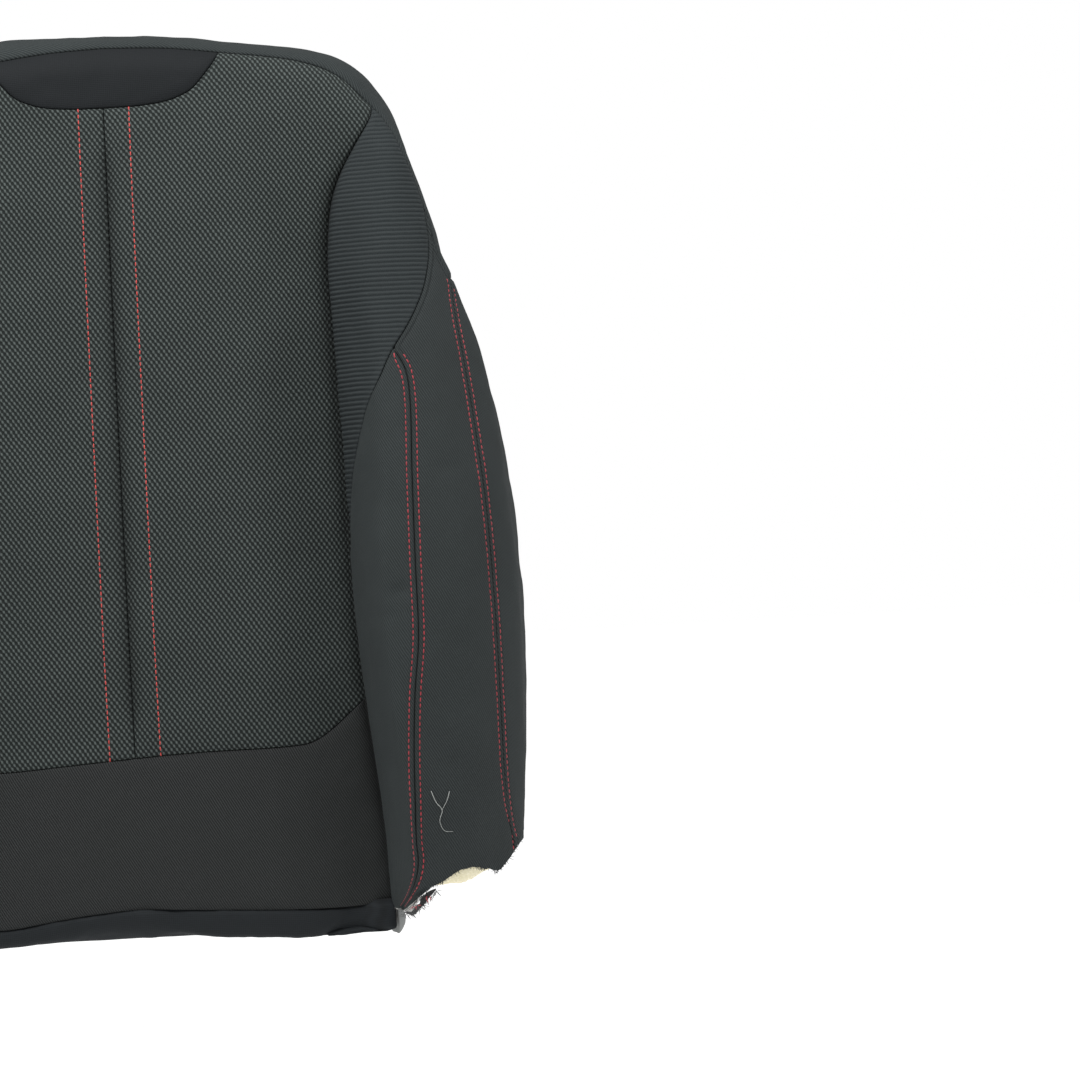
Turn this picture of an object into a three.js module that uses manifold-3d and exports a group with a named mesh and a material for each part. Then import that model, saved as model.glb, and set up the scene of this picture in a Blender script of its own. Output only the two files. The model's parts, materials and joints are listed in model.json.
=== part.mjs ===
// Backrest trim of a sport seat: the sewn cover on its moulded foam pad, as it comes off the seat frame.
// Millimetres. +Z is up, the sitter's side faces -Y, and +X is on the right of someone who faces it.
// The origin is the middle of the flat rear face that bears on the seat frame.
import * as THREE from "three";
import { mergeVertices } from "three/addons/utils/BufferGeometryUtils.js";
import Module from "manifold-3d";

const wasm = await Module();
wasm.setup();

// ---------------------------------------------------------------- driving dimensions
const height = 655; // bottom of the apron to the top of the pad
const halfWidth = 286; // middle to the widest point of a bolster
const bearingHeight = 300; // the origin above the pad's bottom edge
const frontDepth = 60; // bearing face to the front of the centre panel, at mid-height
const bolsterRise = 72; // how far a bolster stands in front of the centre
const trenchDrop = 14; // how far the centre falls back at the side trenches
const rearReach = 50; // how far the cover's sides reach behind the bearing face
const topReach = 42; // the same along the top edge
const sideRoll = 42; // radius of the rolled edge of a bolster
const topRoll = 24; // radius of the rolled top edge
const clothThickness = 4; // cover cloth with its laminated foam
const flapThickness = 3; // unlined cloth of the flaps
const foamGap = 2.4; // cover to foam
const panelGap = 1.2; // half of the gap at a sewn seam
const pieceGap = 0.4; // pieces that meet face to face
const trenchWidth = 10; // open width of a tie-down trench
const rimWall = 24; // thickness of the foam wall behind the bearing face
const scrimThickness = 1.6; // non-woven backing glued to the foam
const rodRadius = 1.5; // listing rods in the cover's sleeves
const wireRadius = 1.5; // wires moulded into the foam
const ringWire = 1.1; // radius of a hog ring's wire
const ringsPerTrench = 4;
const sleeveDepth = 13; // sewn sleeve, from the seam to its rod
const sideFlapWidth = 46; // rear flaps, from their fold to their free edge
const topFlapWidth = 40;
const apronReach = 62; // apron, from its seam back under the foam
const stripWidth = 12; // J-shaped retainer strips
const stripThickness = 2;
const stripHook = 6;
const rodRise = 4.8; // free height inside a hog ring, between rod and wire
const sideFlapSpan = [0.14, 0.5]; // heights between which a side flap runs, as shares of the height
const topFlapHalf = 120; // half of the top flap's length
const rimInset = 3; // the seam along the edge lies this far inside the outline
const hem = 9; // the cover's rear edge, turned in behind the foam
const leastWidth = 0.5; // narrowest end of a panel between two seams that meet
const foamRecess = 0.75 * foamGap; // how far the foam is cut back behind each piece of the cover
const ringClear = 2; // free height of a sleeve's window above and below its hog ring
const ringMouth = 0.35; // half of the gap between a hog ring's ends, in radians
const mergeTolerance = 1e-4;

// ---------------------------------------------------------------- curves
const lerp = THREE.MathUtils.lerp;
const smoothstep = THREE.MathUtils.smoothstep;

// A smooth function through [input, output] pairs, flat beyond both ends.
function through(pairs) {
  const slope = pairs.map((p, i) => {
    const a = pairs[Math.max(i - 1, 0)];
    const b = pairs[Math.min(i + 1, pairs.length - 1)];
    return (b[1] - a[1]) / (b[0] - a[0]);
  });
  return (t) => {
    if (t <= pairs[0][0]) return pairs[0][1];
    if (t >= pairs.at(-1)[0]) return pairs.at(-1)[1];
    const i = pairs.findIndex((p) => p[0] > t) - 1;
    const [a, b] = [pairs[i], pairs[i + 1]];
    const h = b[0] - a[0];
    const s = (t - a[0]) / h;
    const rise = s * s * (3 - 2 * s);
    return (
      a[1] + (b[1] - a[1]) * rise +
      h * s * (1 - s) * ((1 - s) * slope[i] - s * slope[i + 1])
    );
  };
}

// The right half of the front outline, from the middle of the top edge down, in half widths and heights.
const outline = new THREE.CatmullRomCurve3(
  [
    [0, 1], [0.15, 0.997], [0.31, 0.988], [0.51, 0.973], [0.6, 0.956], [0.67, 0.927], [0.72, 0.901],
    [0.757, 0.872], [0.792, 0.83], [0.823, 0.785], [0.843, 0.746], [0.874, 0.71], [0.93, 0.638],
    [0.972, 0.56], [0.996, 0.464], [1, 0.354], [0.993, 0.243], [0.98, 0.12], [0.97, 0],
  ].map(([x, z]) => new THREE.Vector3(x * halfWidth, 0, z * height)),
  false,
  "centripetal",
);
const outlineSamples = outline.getSpacedPoints(160);

// How far a point of the front lies inside the outline.
function insideBy(x, z) {
  let best = Infinity;
  for (let i = 0; i + 1 < outlineSamples.length; i++) {
    const [a, b] = [outlineSamples[i], outlineSamples[i + 1]];
    const [dx, dz] = [b.x - a.x, b.z - a.z];
    const t = THREE.MathUtils.clamp(((Math.abs(x) - a.x) * dx + (z - a.z) * dz) / (dx * dx + dz * dz), 0, 1);
    best = Math.min(best, Math.hypot(Math.abs(x) - a.x - t * dx, z - a.z - t * dz));
  }
  return best;
}

// The outline's half width at a height, and its height at a distance from the middle.
function outlineX(z) {
  const i = Math.max(1, outlineSamples.findIndex((p) => p.z <= z));
  const [a, b] = [outlineSamples[i - 1], outlineSamples[i]];
  return lerp(a.x, b.x, (a.z - z) / (a.z - b.z));
}
function outlineZ(x) {
  const i = Math.max(1, outlineSamples.findIndex((p) => p.x >= x));
  const [a, b] = [outlineSamples[i - 1], outlineSamples[i]];
  return lerp(a.z, b.z, (x - a.x) / (b.x - a.x));
}

// Seam lines: half widths against heights, as shares.
const shared = (pairs, input, output) => {
  const curve = through(pairs);
  return (t) => curve(t / input) * output;
};
const trenchX = shared(
  [[0, 0.628], [0.14, 0.612], [0.25, 0.588], [0.35, 0.572], [0.5, 0.56], [0.66, 0.545], [0.73, 0.54],
    [0.77, 0.546], [0.81, 0.562], [0.84, 0.59], [0.87, 0.632], [0.9, 0.677], [0.916, 0.686]],
  height, halfWidth,
);
const shoulderSeamX = shared(
  [[0.41, 0.566], [0.475, 0.577], [0.513, 0.592], [0.55, 0.615], [0.58, 0.638], [0.61, 0.675],
    [0.638, 0.71], [0.665, 0.752], [0.69, 0.782], [0.71, 0.799], [0.74, 0.812], [0.77, 0.812], [0.828, 0.793]],
  height, halfWidth,
);
const noseSeamX = shared(
  [[0, 0.63], [0.035, 0.654], [0.06, 0.688], [0.09, 0.706], [0.14, 0.71], [0.2, 0.712], [0.26, 0.722],
    [0.32, 0.738], [0.4, 0.74], [0.5, 0.743], [0.58, 0.747], [0.615, 0.738], [0.638, 0.71]],
  height, halfWidth,
);
const outerSeamX = shared(
  [[0, 0.955], [0.1, 0.952], [0.13, 0.94], [0.17, 0.935], [0.33, 0.934], [0.45, 0.926], [0.53, 0.911],
    [0.62, 0.888], [0.67, 0.872], [0.72, 0.862]],
  height, halfWidth,
);
const lumbarSeamZ = shared(
  [[-0.62, 0.252], [-0.585, 0.24], [-0.55, 0.224], [-0.5, 0.208], [-0.45, 0.199], [-0.35, 0.193], [-0.2, 0.196],
    [0, 0.2015], [0.16, 0.2045], [0.42, 0.2065], [0.47, 0.213], [0.51, 0.225], [0.55, 0.24], [0.62, 0.266]],
  halfWidth, height,
);
const apronSeamZ = shared(
  [[-0.62, 0.02], [-0.36, 0.017], [-0.27, 0.0215], [-0.135, 0.029], [0, 0.032], [0.18, 0.0275], [0.45, 0.0225],
    [0.62, 0.0245]],
  halfWidth, height,
);
const yokeSeamZ = shared(
  [[0, 0.925], [0.077, 0.9255], [0.154, 0.929], [0.192, 0.934], [0.23, 0.943], [0.273, 0.965], [0.3, 0.984]],
  halfWidth, height,
);
// The cut lower edge of a bolster.
const cutZ = shared([[0.6, 0.024], [0.7, 0.042], [0.8, 0.066], [0.9, 0.07], [1, 0.1]], halfWidth, height);

// ---------------------------------------------------------------- the cover's outer surface
const spine = shared(
  [[0, 10], [0.06, 4], [0.2, -6], [0.32, -10], [0.5, -5], [0.7, 4], [0.85, 14], [0.95, 24], [1, 30]],
  height, 1,
);
const riseShare = shared(
  [[0, 0.86], [0.1, 0.94], [0.2, 1], [0.4, 1], [0.5, 0.92], [0.58, 0.78], [0.66, 0.58], [0.73, 0.42], [0.8, 0.25],
    [0.86, 0.12], [0.916, 0.02], [1, 0]],
  height, 1,
);
const wallWidth = shared([[0, 24], [0.4, 28], [0.5, 34], [0.6, 40], [0.7, 46], [0.8, 50], [0.92, 40]], height, 1);
const rollAt = (z) => lerp(sideRoll, topRoll, smoothstep(z / height, 0.55, 0.9));

// The front before its edge is rolled over, or a surface parallel to it that lies deeper.
function plainFront(x, z, depth = 0) {
  const side = Math.abs(x);
  const trench = trenchX(z);
  const fall = smoothstep(side, 0.33 * halfWidth, trench);
  const past = side - trench - depth;
  const lobe = Math.sin((THREE.MathUtils.clamp(past / wallWidth(z), 0, 1) * Math.PI) / 2);
  const across = Math.max(outlineX(Math.min(z, 0.9 * height)) - trench, 1);
  const shoulder = 1 - 0.28 * smoothstep(past / across, 0.45, 1);
  return (
    depth - frontDepth + spine(z) + trenchDrop * fall * (1 - lobe) * riseShare(z) ** 0.3 -
    bolsterRise * riseShare(z) * lobe * shoulder
  );
}
function frontY(x, z, depth = 0) {
  const roll = rollAt(z) - depth;
  const left = THREE.MathUtils.clamp(roll + depth - insideBy(x, z), 0, roll);
  return plainFront(x, z, depth) + roll - Math.sqrt(roll * roll - left * left);
}

// A point of the cover's front, moved in towards the foam by a depth.
function frontPoint(x, z, depth = 0) {
  const step = 0.4;
  const slopeX = (frontY(x + step, z) - frontY(x - step, z)) / (2 * step);
  const slopeZ = (frontY(x, z + step) - frontY(x, z - step)) / (2 * step);
  const inwards = new THREE.Vector3(-slopeX, 1, -slopeZ).normalize();
  return new THREE.Vector3(x, frontY(x, z), z - bearingHeight).addScaledVector(inwards, depth);
}

// A point of the rolled edge, where a turn of 0 is the outline and a quarter turn is the front.
function edgePoint(share, turn, side) {
  const p = outline.getPointAt(share);
  const along = outline.getTangentAt(share);
  const roll = rollAt(p.z);
  const inset = roll * (1 - Math.cos(turn));
  const [x, z] = [p.x + along.z * inset, p.z - along.x * inset];
  return new THREE.Vector3(side * x, plainFront(x, z) + roll * (1 - Math.sin(turn)), z - bearingHeight);
}
function rolledPoint(share, turn, side, depth = 0) {
  const [ds, dt] = [0.003, 0.03];
  const along = edgePoint(Math.min(share + ds, 1), turn, side).sub(edgePoint(Math.max(share - ds, 0), turn, side));
  const across = edgePoint(share, turn + dt, side).sub(edgePoint(share, turn - dt, side));
  const inwards = along.cross(across).multiplyScalar(side).normalize();
  return edgePoint(share, turn, side).addScaledVector(inwards, depth);
}
// A point behind the rolled edge, on the cover's side or its hem, at a given distance from the bearing face.
function behindPoint(share, y, side, depth = 0) {
  const p = outline.getPointAt(share);
  const along = outline.getTangentAt(share);
  return new THREE.Vector3(side * (p.x + along.z * depth), y, p.z - along.x * depth - bearingHeight);
}

// ---------------------------------------------------------------- solids
const range = (n) => Array.from({ length: n }, (_, i) => i / (n - 1));

// A closed solid between two grids of points that have the same rows and columns.
function between(outer, inner) {
  const [rows, columns] = [outer.length, outer[0].length];
  const points = [...outer.flat(), ...inner.flat()];
  const at = (side, i, j) => side * rows * columns + i * columns + j;
  const faces = [];
  const quad = (a, b, c, d) => faces.push(a, b, c, a, c, d);
  for (let i = 0; i + 1 < rows; i++)
    for (let j = 0; j + 1 < columns; j++) {
      quad(at(0, i, j), at(0, i, j + 1), at(0, i + 1, j + 1), at(0, i + 1, j));
      quad(at(1, i, j), at(1, i + 1, j), at(1, i + 1, j + 1), at(1, i, j + 1));
    }
  for (let i = 0; i + 1 < rows; i++) {
    quad(at(0, i, 0), at(0, i + 1, 0), at(1, i + 1, 0), at(1, i, 0));
    quad(at(0, i + 1, columns - 1), at(0, i, columns - 1), at(1, i, columns - 1), at(1, i + 1, columns - 1));
  }
  for (let j = 0; j + 1 < columns; j++) {
    quad(at(0, 0, j + 1), at(0, 0, j), at(1, 0, j), at(1, 0, j + 1));
    quad(at(0, rows - 1, j), at(0, rows - 1, j + 1), at(1, rows - 1, j + 1), at(1, rows - 1, j));
  }
  const made = new THREE.BufferGeometry().setFromPoints(points);
  made.setIndex(faces);
  return facingOut(mergeVertices(made, mergeTolerance));
}

// Drops faces that merging has closed up, and turns the rest outwards.
function facingOut(geometry) {
  const index = [...geometry.index.array];
  const kept = [];
  for (let i = 0; i < index.length; i += 3) {
    const [a, b, c] = index.slice(i, i + 3);
    if (a !== b && b !== c && c !== a) kept.push([a, b, c]);
  }
  const p = geometry.getAttribute("position");
  const corner = (i) => new THREE.Vector3().fromBufferAttribute(p, i);
  const volume = kept.reduce((sum, [a, b, c]) => sum + corner(a).dot(corner(b).cross(corner(c))), 0);
  geometry.setIndex((volume < 0 ? kept.map(([a, b, c]) => [a, c, b]) : kept).flat());
  return geometry;
}

// A sewn panel of the front: a shell between two seams. Rows run up from low to high and columns across
// from left to right, which are distances from the middle at a height; low and high are heights at a share
// of the way across. Where the seams meet, the panel still ends with its least width.
function panelGrid({ left, right, low, high, rows, columns, side = 1 }) {
  return (depth, gap = panelGap) =>
    rows.map((v) =>
      columns.map((u) => {
        const z = lerp(low(u) + gap, high(u) - gap, v);
        const from = left(z) + gap;
        const to = Math.max(from + leastWidth, right(z) - gap);
        return frontPoint(side * lerp(from, to, u), z, depth);
      }),
    );
}

function solidOf(geometry) {
  const bare = geometry.clone();
  bare.deleteAttribute("normal");
  bare.deleteAttribute("uv");
  const merged = mergeVertices(bare, mergeTolerance);
  return new wasm.Manifold(
    new wasm.Mesh({
      numProp: 3,
      vertProperties: merged.getAttribute("position").array,
      triVerts: new Uint32Array(merged.index.array),
    }),
  );
}
function geometryOf(solid) {
  const mesh = solid.getMesh();
  const made = new THREE.BufferGeometry();
  made.setAttribute("position", new THREE.BufferAttribute(mesh.vertProperties, 3));
  made.setIndex(new THREE.BufferAttribute(mesh.triVerts, 1));
  return made;
}
const cut = (solid, tools) => tools.reduce((left, tool) => left.subtract(solidOf(tool)), solid);

// ---------------------------------------------------------------- materials
const finish = (colour, roughness, metalness = 0) =>
  new THREE.MeshStandardMaterial({ color: colour, roughness, metalness });
const centreCloth = finish(0x33393a, 0.9); // hopsack weave
const ribCloth = finish(0x2a2f30, 0.85);
const twillCloth = finish(0x25292b, 0.85);
const smoothCloth = finish(0x24282c, 0.7);
const foam = finish(0xe8dfc4, 0.95);
const scrim = finish(0xd9d8d2, 0.95);
const strip = finish(0x1a1b1c, 0.5);
const wire = finish(0x8f9396, 0.35, 1);
const rod = finish(0xd8d8d4, 0.45);

const backrest = new THREE.Group();
function add(name, geometry, material) {
  const made = new THREE.Mesh(geometry, material);
  made.name = name;
  backrest.add(made);
  return made;
}
const sides = [["left", -1], ["right", 1]];
const middle = () => 0;

// A piece of the cover, and the room that the foam leaves for it: from well in front of the piece to
// some way behind it, and a little past its seams.
const room = [];
const [roomFront, roomPast] = [-trenchDrop, -0.5];
function sew(name, grid, material) {
  add(name, between(grid(0), grid(clothThickness)), material);
  room.push(between(grid(roomFront, roomPast), grid(clothThickness + foamRecess, roomPast)));
}

// ---------------------------------------------------------------- sewn panels of the front
const cornerZ = 0.916 * height; // the shoulder corner, where three seams meet
const cornerX = 0.686 * halfWidth;
const waistZ = 0.42 * height; // where the shoulder gusset runs out into the trench
const noseTopZ = 0.635 * height; // where the nose seam meets the shoulder seam
const faceTopZ = 0.785 * height; // where the shoulder seam runs out at the edge
const yokeHalf = 0.295 * halfWidth;
const insetX = (z) => outlineX(z) - 1.25 * rimInset;
const topSeamZ = (x) => outlineZ(x) - 1.25 * rimInset;
const centreTop = (u) => {
  const x = lerp(panelGap, cornerX - panelGap, u);
  return x < yokeHalf + panelGap ? Math.min(yokeSeamZ(x), topSeamZ(x)) : topSeamZ(x);
};

// The centre panels' columns under the yoke stand where the yoke's own columns do.
const yokeColumns = range(9).map((u) => lerp(-yokeHalf, yokeHalf, u));
const yokeShares = yokeColumns.slice(4).map((x) => Math.max(0, (x - panelGap) / (cornerX - 2 * panelGap)));
const innerRows = range(12);
const shownNose = (noseTopZ - cutZ(0.68 * halfWidth)) / (faceTopZ - cutZ(0.68 * halfWidth));
const faceRows = [...innerRows.map((v) => v * shownNose), lerp(shownNose, 1, 0.35), lerp(shownNose, 1, 0.7), 1];
const centreShares = [...yokeShares, 0.62, 0.81, 1];
for (const [name, side] of sides) {
  const centre = {
    left: middle, right: (z) => trenchX(Math.min(z, cornerZ)), side,
    rows: range(12), columns: centreShares,
    low: (u) => lumbarSeamZ(side * u * trenchX(0.21 * height)),
    high: centreTop,
  };
  const gusset = {
    left: trenchX, right: (z) => Math.min(shoulderSeamX(z), insetX(z)), side,
    rows: range(13), columns: range(6), low: () => waistZ, high: () => cornerZ - 2,
  };
  const inner = {
    left: (z) => Math.max(trenchX(z), z > waistZ - 8 ? shoulderSeamX(z) : 0), right: noseSeamX, side,
    rows: innerRows, columns: range(7), low: (u) => cutZ(lerp(0.62, 0.68, u) * halfWidth), high: () => noseTopZ - 3,
  };
  const face = {
    left: (z) => (z > noseTopZ ? shoulderSeamX(z) : noseSeamX(z)),
    right: (z) => Math.min(outerSeamX(z), insetX(z)), side,
    rows: faceRows, columns: range(6), low: (u) => cutZ(lerp(0.68, 0.95, u) * halfWidth), high: () => faceTopZ,
  };
  sew(`centre_panel_${name}`, panelGrid(centre), centreCloth);
  sew(`shoulder_gusset_${name}`, panelGrid(gusset), ribCloth);
  sew(`bolster_inner_${name}`, panelGrid(inner), twillCloth);
  sew(`bolster_face_${name}`, panelGrid(face), twillCloth);
}

const yokeGrid = (depth, gap = panelGap) =>
  range(4).map((v) =>
    yokeColumns.map((x) => {
      const low = yokeSeamZ(Math.abs(x)) + gap;
      const high = Math.max(topSeamZ(Math.abs(x)) - gap, low + 2 * leastWidth);
      return frontPoint(x, lerp(low, high, v), depth);
    }),
  );
sew("yoke_panel", yokeGrid, smoothCloth);

const lumbarGrid = (depth, gap = panelGap) =>
  range(6).map((v) =>
    range(12).map((u) => {
      const reach = (z) => lerp(gap - trenchX(z), trenchX(z) - gap, u);
      const [low, high] = [reach(0.02 * height), reach(0.21 * height)];
      const z = lerp(apronSeamZ(low) + gap, lumbarSeamZ(high) - gap, v);
      return frontPoint(reach(z), z, depth);
    }),
  );
sew("lumbar_panel", lumbarGrid, twillCloth);

// ---------------------------------------------------------------- sides and rim, over the edge to the back
const turnAt = (inset, roll) => Math.acos(THREE.MathUtils.clamp(1 - inset / roll, 0, 1));
const shareAt = (z) => outlineSamples.findIndex((p) => p.z <= z) / (outlineSamples.length - 1);
const rimEnd = shareAt(0.716 * height); // where the top rim meets the bolster's side
const cutShare = shareAt(0.1 * height);
const rearAt = (z) => lerp(rearReach, topReach, smoothstep(z / height, 0.8, 0.95));

// Rows run from the front seam over the edge to the hem, columns round the outline at [share, side, inset].
function rimGrid(stations) {
  const column = ([share, side, inset], depth, gap) => {
    const p = outline.getPointAt(share);
    const start = turnAt(inset - gap, rollAt(p.z));
    const limb = plainFront(p.x, p.z) + rollAt(p.z);
    const rear = rearAt(p.z);
    return [
      ...[1, 0.66, 0.33, 0].map((t) => rolledPoint(share, start * t, side, depth)),
      behindPoint(share, lerp(limb, rear, 0.5), side, depth),
      behindPoint(share, rear - Math.max(depth, 0), side, depth),
      behindPoint(share, rear - Math.max(depth, 0), side, hem),
    ];
  };
  return (depth, gap = panelGap) => stations.map((station) => column(station, depth, gap));
}
for (const [name, side] of sides) {
  const stations = range(11).map((t) => {
    const share = lerp(cutShare, rimEnd, t);
    const p = outline.getPointAt(share);
    return [share, side, Math.max(p.x - outerSeamX(p.z), rimInset)];
  });
  sew(`bolster_side_${name}`, rimGrid(stations), twillCloth);
}
const rimStations = range(33).map((t) => {
  const share = lerp(0.005 - rimEnd, rimEnd - 0.005, t);
  return [Math.abs(share), share < 0 ? -1 : 1, rimInset];
});
sew("top_rim_panel", rimGrid(rimStations), twillCloth);

// ---------------------------------------------------------------- apron and its fold
const foldY = -frontDepth + 24; // the fold line under the lower edge
const foldZ = 0.001 * height;
const apronBack = foldY - 3; // the apron stops short of the fold
const apronFront = apronBack - flapThickness; // its drop hangs clear of the flap as that swings down
const apronEnd = 0.62 * halfWidth;
const apronHalf = 0.55 * halfWidth; // half of the flap's length
const apronBottom = shared(
  [[-0.62, -0.01], [-0.37, -0.008], [-0.21, -0.001], [-0.09, 0.004], [0.02, 0.004], [0.08, -0.002],
    [0.25, -0.009], [0.45, -0.013], [0.62, -0.01]],
  halfWidth, height,
);
const apronGrid = (depth) =>
  range(15).map((u) => {
    const x = lerp(-apronEnd, apronEnd, u);
    const [top, bottom] = [apronSeamZ(x) - panelGap, apronBottom(x)];
    const y = frontY(x, top);
    // each point's place, and which way the cloth's thickness goes there
    return [
      [y, top, 1, 0.05],
      [Math.min(y + 1, apronFront), lerp(top, bottom, 0.5), 1, 0.1],
      [Math.min(y + 4, apronFront), lerp(top, bottom, 0.85), 0.8, 0.6],
      [Math.min(lerp(y, apronBack, 0.6), apronFront + 1), bottom, 0.1, 1],
      [apronBack, Math.min(bottom + 0.5, foldZ), 0, 1],
    ].map(([a, b, inY, inZ]) => new THREE.Vector3(x, a + inY * depth, b + inZ * depth - bearingHeight));
  });
add("apron", between(apronGrid(0), apronGrid(flapThickness)), smoothCloth);

function slab(from, to) {
  const made = new THREE.BoxGeometry(to[0] - from[0], to[1] - from[1], to[2] - from[2]);
  return made.translate((from[0] + to[0]) / 2, (from[1] + to[1]) / 2, (from[2] + to[2]) / 2);
}
const level = foldZ - bearingHeight;
const half = flapThickness / 2;
const flapStart = foldY + 1;
const flapEnd = flapStart + apronReach;
const apronFlap = slab([-apronHalf, flapStart, level - half], [apronHalf, flapEnd, level + half]);
add("apron_flap", apronFlap, smoothCloth);

// A J-shaped strip sewn along a flap's free edge: a flat leg and a hook, swept along the edge.
function hookedStrip(length) {
  const [w, t, r] = [stripWidth, stripThickness, stripHook / 2];
  const section = new THREE.Shape();
  section.moveTo(0, 0);
  section.lineTo(w, 0);
  section.absarc(w, r, r, -Math.PI / 2, Math.PI / 2);
  section.lineTo(w - r, 2 * r);
  section.lineTo(w - r, 2 * r - t);
  section.lineTo(w, 2 * r - t);
  section.absarc(w, r, r - t, Math.PI / 2, -Math.PI / 2, true);
  section.lineTo(0, t);
  return new THREE.ExtrudeGeometry(section, { depth: length, bevelEnabled: false, curveSegments: 8 });
}
const stripEnd = 6; // each end of a strip stops this far short of its flap's end
const stripLength = (span) => span - 2 * stripEnd;
// The strip with its leg, its thickness and its length along three directions.
function turnedStrip(length, leg, thickness, edge) {
  const turn = new THREE.Matrix4().makeBasis(leg, thickness, edge);
  const made = hookedStrip(length).applyMatrix4(turn);
  made.deleteAttribute("normal");
  made.deleteAttribute("uv");
  return facingOut(mergeVertices(made, mergeTolerance));
}
const [unitX, unitY, unitZ] = [
  new THREE.Vector3(1, 0, 0), new THREE.Vector3(0, 1, 0), new THREE.Vector3(0, 0, 1),
];
const apronStrip = turnedStrip(stripLength(2 * apronHalf), unitY, unitZ, unitX);
apronStrip.translate(-stripLength(2 * apronHalf) / 2, flapEnd - stripWidth, level + half + pieceGap);
add("apron_strip", apronStrip, strip);

// ---------------------------------------------------------------- flaps behind the sides and the top
const flapLow = sideFlapSpan[0] * height;
const flapHigh = sideFlapSpan[1] * height;
const flapX = Math.min(outlineX(flapLow), outlineX(flapHigh)) - hem - 1;
for (const [name, side] of sides) {
  const y = rearReach - half - pieceGap;
  const [near, far] = [side * flapX, side * (flapX - sideFlapWidth)];
  const from = [Math.min(near, far), y - half, flapLow - bearingHeight];
  const to = [Math.max(near, far), y + half, flapHigh - bearingHeight];
  add(`side_flap_${name}`, slab(from, to), smoothCloth);
  const length = stripLength(flapHigh - flapLow);
  const made = turnedStrip(length, unitX.clone().multiplyScalar(-side), unitY.clone().negate(), unitZ);
  made.translate(far + side * stripWidth, y - half - pieceGap, flapLow + stripEnd - bearingHeight);
  add(`side_strip_${name}`, made, strip);
}
const topZ = outlineZ(topFlapHalf) - hem - 1 - bearingHeight;
const topY = topReach - half - pieceGap;
const topLow = topZ - topFlapWidth;
add("top_flap", slab([-topFlapHalf, topY - half, topLow], [topFlapHalf, topY + half, topZ]), smoothCloth);
const topLength = stripLength(2 * topFlapHalf);
const topStrip = turnedStrip(topLength, unitZ.clone().negate(), unitY.clone().negate(), unitX);
topStrip.translate(-topLength / 2, topY - half - pieceGap, topLow + stripWidth);
add("top_strip", topStrip, strip);

// ---------------------------------------------------------------- tie-downs: sleeves, rods, wires and hog rings
const foamDepth = clothThickness + foamGap;
const tieSpan = 2 * rodRadius + rodRise; // rod to wire, centre to centre
const rodY = (x, z) => plainFront(x, z) + sleeveDepth;
const wireY = (x, z) => rodY(x, z) + tieSpan;
const tieLow = 0.25 * height;
const tieHigh = 0.78 * height;
const tieRows = range(11).map((v) => lerp(tieLow, tieHigh, v));
const ringBend = rodRadius + pieceGap + ringWire; // middle of a hog ring's wire, round the rod
const ringReach = (tieSpan + 2 * rodRadius) / 2 + ringWire + pieceGap;
// half of the room that a hog ring needs: across its trench, into the foam and up the pad
const ringRoom = [ringBend, tieSpan / 2 + ringBend, 0].map((d) => d + ringWire + pieceGap);

function rodAlong(points, radius) {
  const section = new THREE.Shape().absarc(0, 0, radius, 0, 2 * Math.PI);
  const path = new THREE.CatmullRomCurve3(points);
  return new THREE.ExtrudeGeometry(section, { steps: points.length, curveSegments: 3, extrudePath: path });
}

// A hog ring lies across its trench: an oval of wire round the rod and the wire, with its ends left apart.
function hogRing(x, z) {
  const middleY = (rodY(x, z) + wireY(x, z)) / 2;
  const at = (angle) => {
    const [c, s] = [Math.cos(angle), Math.sin(angle)];
    const y = middleY + ringBend * s + (tieSpan / 2) * Math.sign(s);
    return new THREE.Vector3(x + ringBend * c, y, z - bearingHeight);
  };
  const [first, last] = [ringMouth - Math.PI / 2, (3 * Math.PI) / 2 - ringMouth];
  const turns = range(15).map((t) => at(lerp(first, last, t)));
  const section = new THREE.Shape().absarc(0, 0, ringWire, 0, 2 * Math.PI);
  const path = new THREE.CatmullRomCurve3(turns, false, "centripetal");
  return new THREE.ExtrudeGeometry(section, { steps: 14, curveSegments: 3, extrudePath: path });
}

const trenches = [["centre", () => 0], ["left", (z) => -trenchX(z)], ["right", (z) => trenchX(z)]];
for (const [name, lineX] of trenches) {
  const along = (y) =>
    tieRows.map((z) => new THREE.Vector3(lineX(z), y(lineX(z), z), z - bearingHeight));
  const ringZ = range(ringsPerTrench).map((t) => lerp(tieRows[1], tieRows.at(-2), t));
  const sheet = (offset) =>
    tieRows.map((z) => {
      const x = lineX(z);
      const from = plainFront(x, z) + clothThickness + pieceGap;
      const to = rodY(x, z) - rodRadius - pieceGap;
      return [from, to].map((y) => new THREE.Vector3(x + offset, y, z - bearingHeight));
    });
  // a sleeve is cut open and the foam is cut back where each ring goes through
  const windows = ringZ.map((z) => {
    const [x, y] = [lineX(z), (rodY(lineX(z), z) + wireY(lineX(z), z)) / 2];
    const [level, tall] = [z - bearingHeight, ringWire + ringClear];
    const [wide, deep, high] = ringRoom;
    room.push(slab([x - wide, y - deep, level - high], [x + wide, y + deep, level + high]));
    return slab([x - 2 * wide, y - ringReach, level - tall], [x + 2 * wide, y + 2 * deep, level + tall]);
  });
  add(`sleeve_${name}`, geometryOf(cut(solidOf(between(sheet(-0.5), sheet(0.5))), windows)), smoothCloth);
  add(`rod_${name}`, rodAlong(along(rodY), rodRadius), rod);
  add(`foam_wire_${name}`, rodAlong(along(wireY), wireRadius), wire);
  ringZ.forEach((z, i) => add(`hog_ring_${name}_${i + 1}`, hogRing(lineX(z), z), wire));
}

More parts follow.
